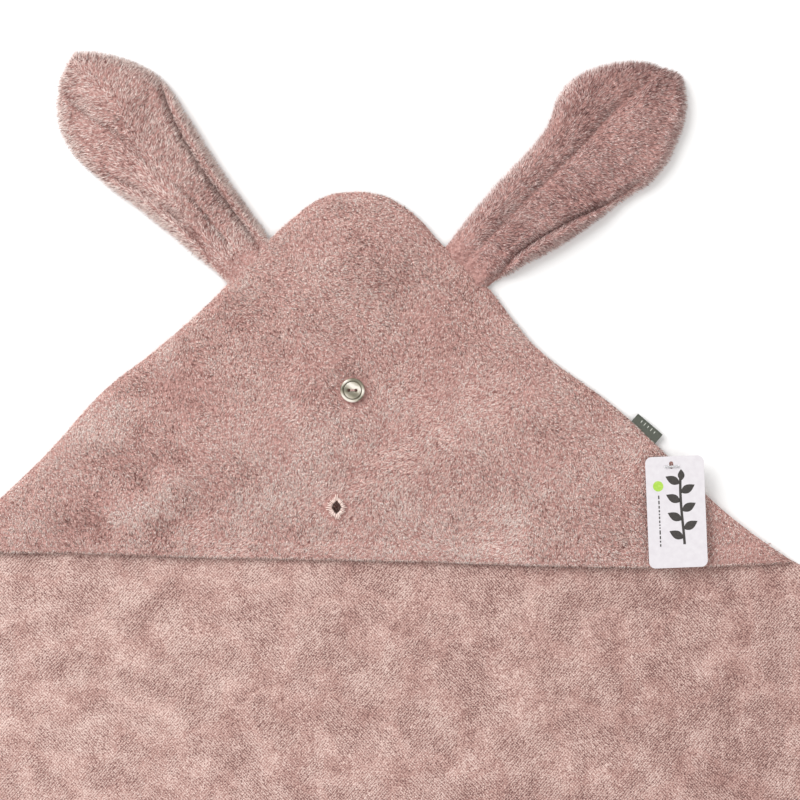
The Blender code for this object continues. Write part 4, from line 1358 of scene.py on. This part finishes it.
# A column of plain dashes stands for the card's small print.
DASH_LEFT, DASH_RIGHT = -8.9 * MM, -8.1 * MM
rng = np.random.default_rng(5)
dashes = []
y = -17.5 * MM
while y > -48 * MM:
    long = rng.uniform(0.8, 2.6) * MM
    dashes.append([(DASH_LEFT, y), (DASH_LEFT, y - long), (DASH_RIGHT, y - long), (DASH_RIGHT, y)])
    y -= long + 0.9 * MM
printed("tag_print_dashes", dashes, INK)


# ---- fastener -----------------------------------------------------------------------------
# Clear nylon, injection moulded in one shot: milky, glossy, with light showing through.
NYLON = grained("moulded_nylon", "dcdcdc", 0.25, 500, [(0.3, "c9c9cb"), (0.7, "e4e4e6")], (0.15, 0.05 * MM),
                detail=1.0, ior=1.53, transmission_weight=0.45)
bar_axis = Vector((math.cos(TAG_TURN), math.sin(TAG_TURN), 0))
BAR_HALF, BAR_RADIUS = 4.65 * MM, 0.6 * MM
# Half of the bar, from its round end to the slight collar at its middle, where its thread starts.
profile = [(0, -BAR_HALF)]
for a in np.radians(np.linspace(-90, 0, 7)[1:]):
    profile.append((BAR_RADIUS * math.cos(a), -BAR_HALF + BAR_RADIUS * (1 + math.sin(a))))
profile += [(0.92 * BAR_RADIUS, -1.2 * MM), (BAR_RADIUS, -0.7 * MM), (BAR_RADIUS, 0)]
profile += [(radius, -place) for radius, place in profile[-2::-1]]
bar = as_mesh(revolved("fastener_bar", profile, 28, NYLON))
bar.data.transform(Matrix.Translation(FASTENER) @ bar_axis.to_track_quat("Z", "Y").to_matrix().to_4x4())
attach(bar, "fastener")
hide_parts("tag_fastener")
strand_foot = Vector((FASTENER.x, FASTENER.y, hood_top(FASTENER.x, FASTENER.y) - 1.0 * MM))
line = [strand_foot.lerp(FASTENER, t) for t in np.linspace(0, 1, 16)]
shank = as_mesh(strand("fastener_strand", line, 0.8 * MM, NYLON))
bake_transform(shank)


# ---- floor, light and camera -----------------------------------------------------------------
# The plain pale surface that the towel lies on, painted matt white: faintly uneven, with no shine.
PAINTED_BOARD = grained("painted_board", "f8f8f8", 0.9, 6, [(0.3, "f7f7f7"), (0.7, "fafafa")])
FLOOR_REACH = 4
mesh = bpy.data.meshes.new("floor")
corners = [(FLOOR_REACH * x, FLOOR_REACH * y, 0) for x, y in ((-1, -1), (1, -1), (1, 1), (-1, 1))]
mesh.from_pydata(corners, [], [(0, 1, 2, 3)])
floor = show("floor", mesh, PAINTED_BOARD)


def soft_light(name, place, aim, width, power):
    """A square soft light: metres and watts."""
    lamp = bpy.data.lights.new(name, "AREA")
    lamp.shape = "SQUARE"
    lamp.size = width
    lamp.energy = power
    made = show(name, lamp)
    made.location = place
    made.rotation_euler = (Vector(aim) - Vector(place)).to_track_quat("-Z", "Y").to_euler()


# The camera looks straight down at this place, with the hood's corner filling its view.
FRAME_MIDDLE = Vector((0.0206, 0.4608, 0.01))
VIEW_WIDE = 0.4936
VIEW_HIGH = 1.2
FILM_WIDE = 36  # in mm
soft_light("window", (-2.0, 1.95, 2.5), FRAME_MIDDLE, 2.4, 112)
soft_light("ceiling", (0.6, -0.3, 2.6), FRAME_MIDDLE, 2.6, 22)
world = bpy.data.worlds.new("room")
world.use_nodes = True
background = world.node_tree.nodes["Background"]
background.inputs["Color"].default_value = from_hex("fbfaf8")
background.inputs["Strength"].default_value = 0.56
bpy.context.scene.world = world
bpy.context.scene.view_settings.view_transform = "Standard"

lens = bpy.data.cameras.new("camera")
lens.sensor_width = FILM_WIDE
lens.lens = FILM_WIDE * VIEW_HIGH / VIEW_WIDE
camera = show("camera", lens)
camera.location = FRAME_MIDDLE + Vector((0, 0, VIEW_HIGH))
bpy.context.scene.camera = camera

bpy.context.view_layer.update()
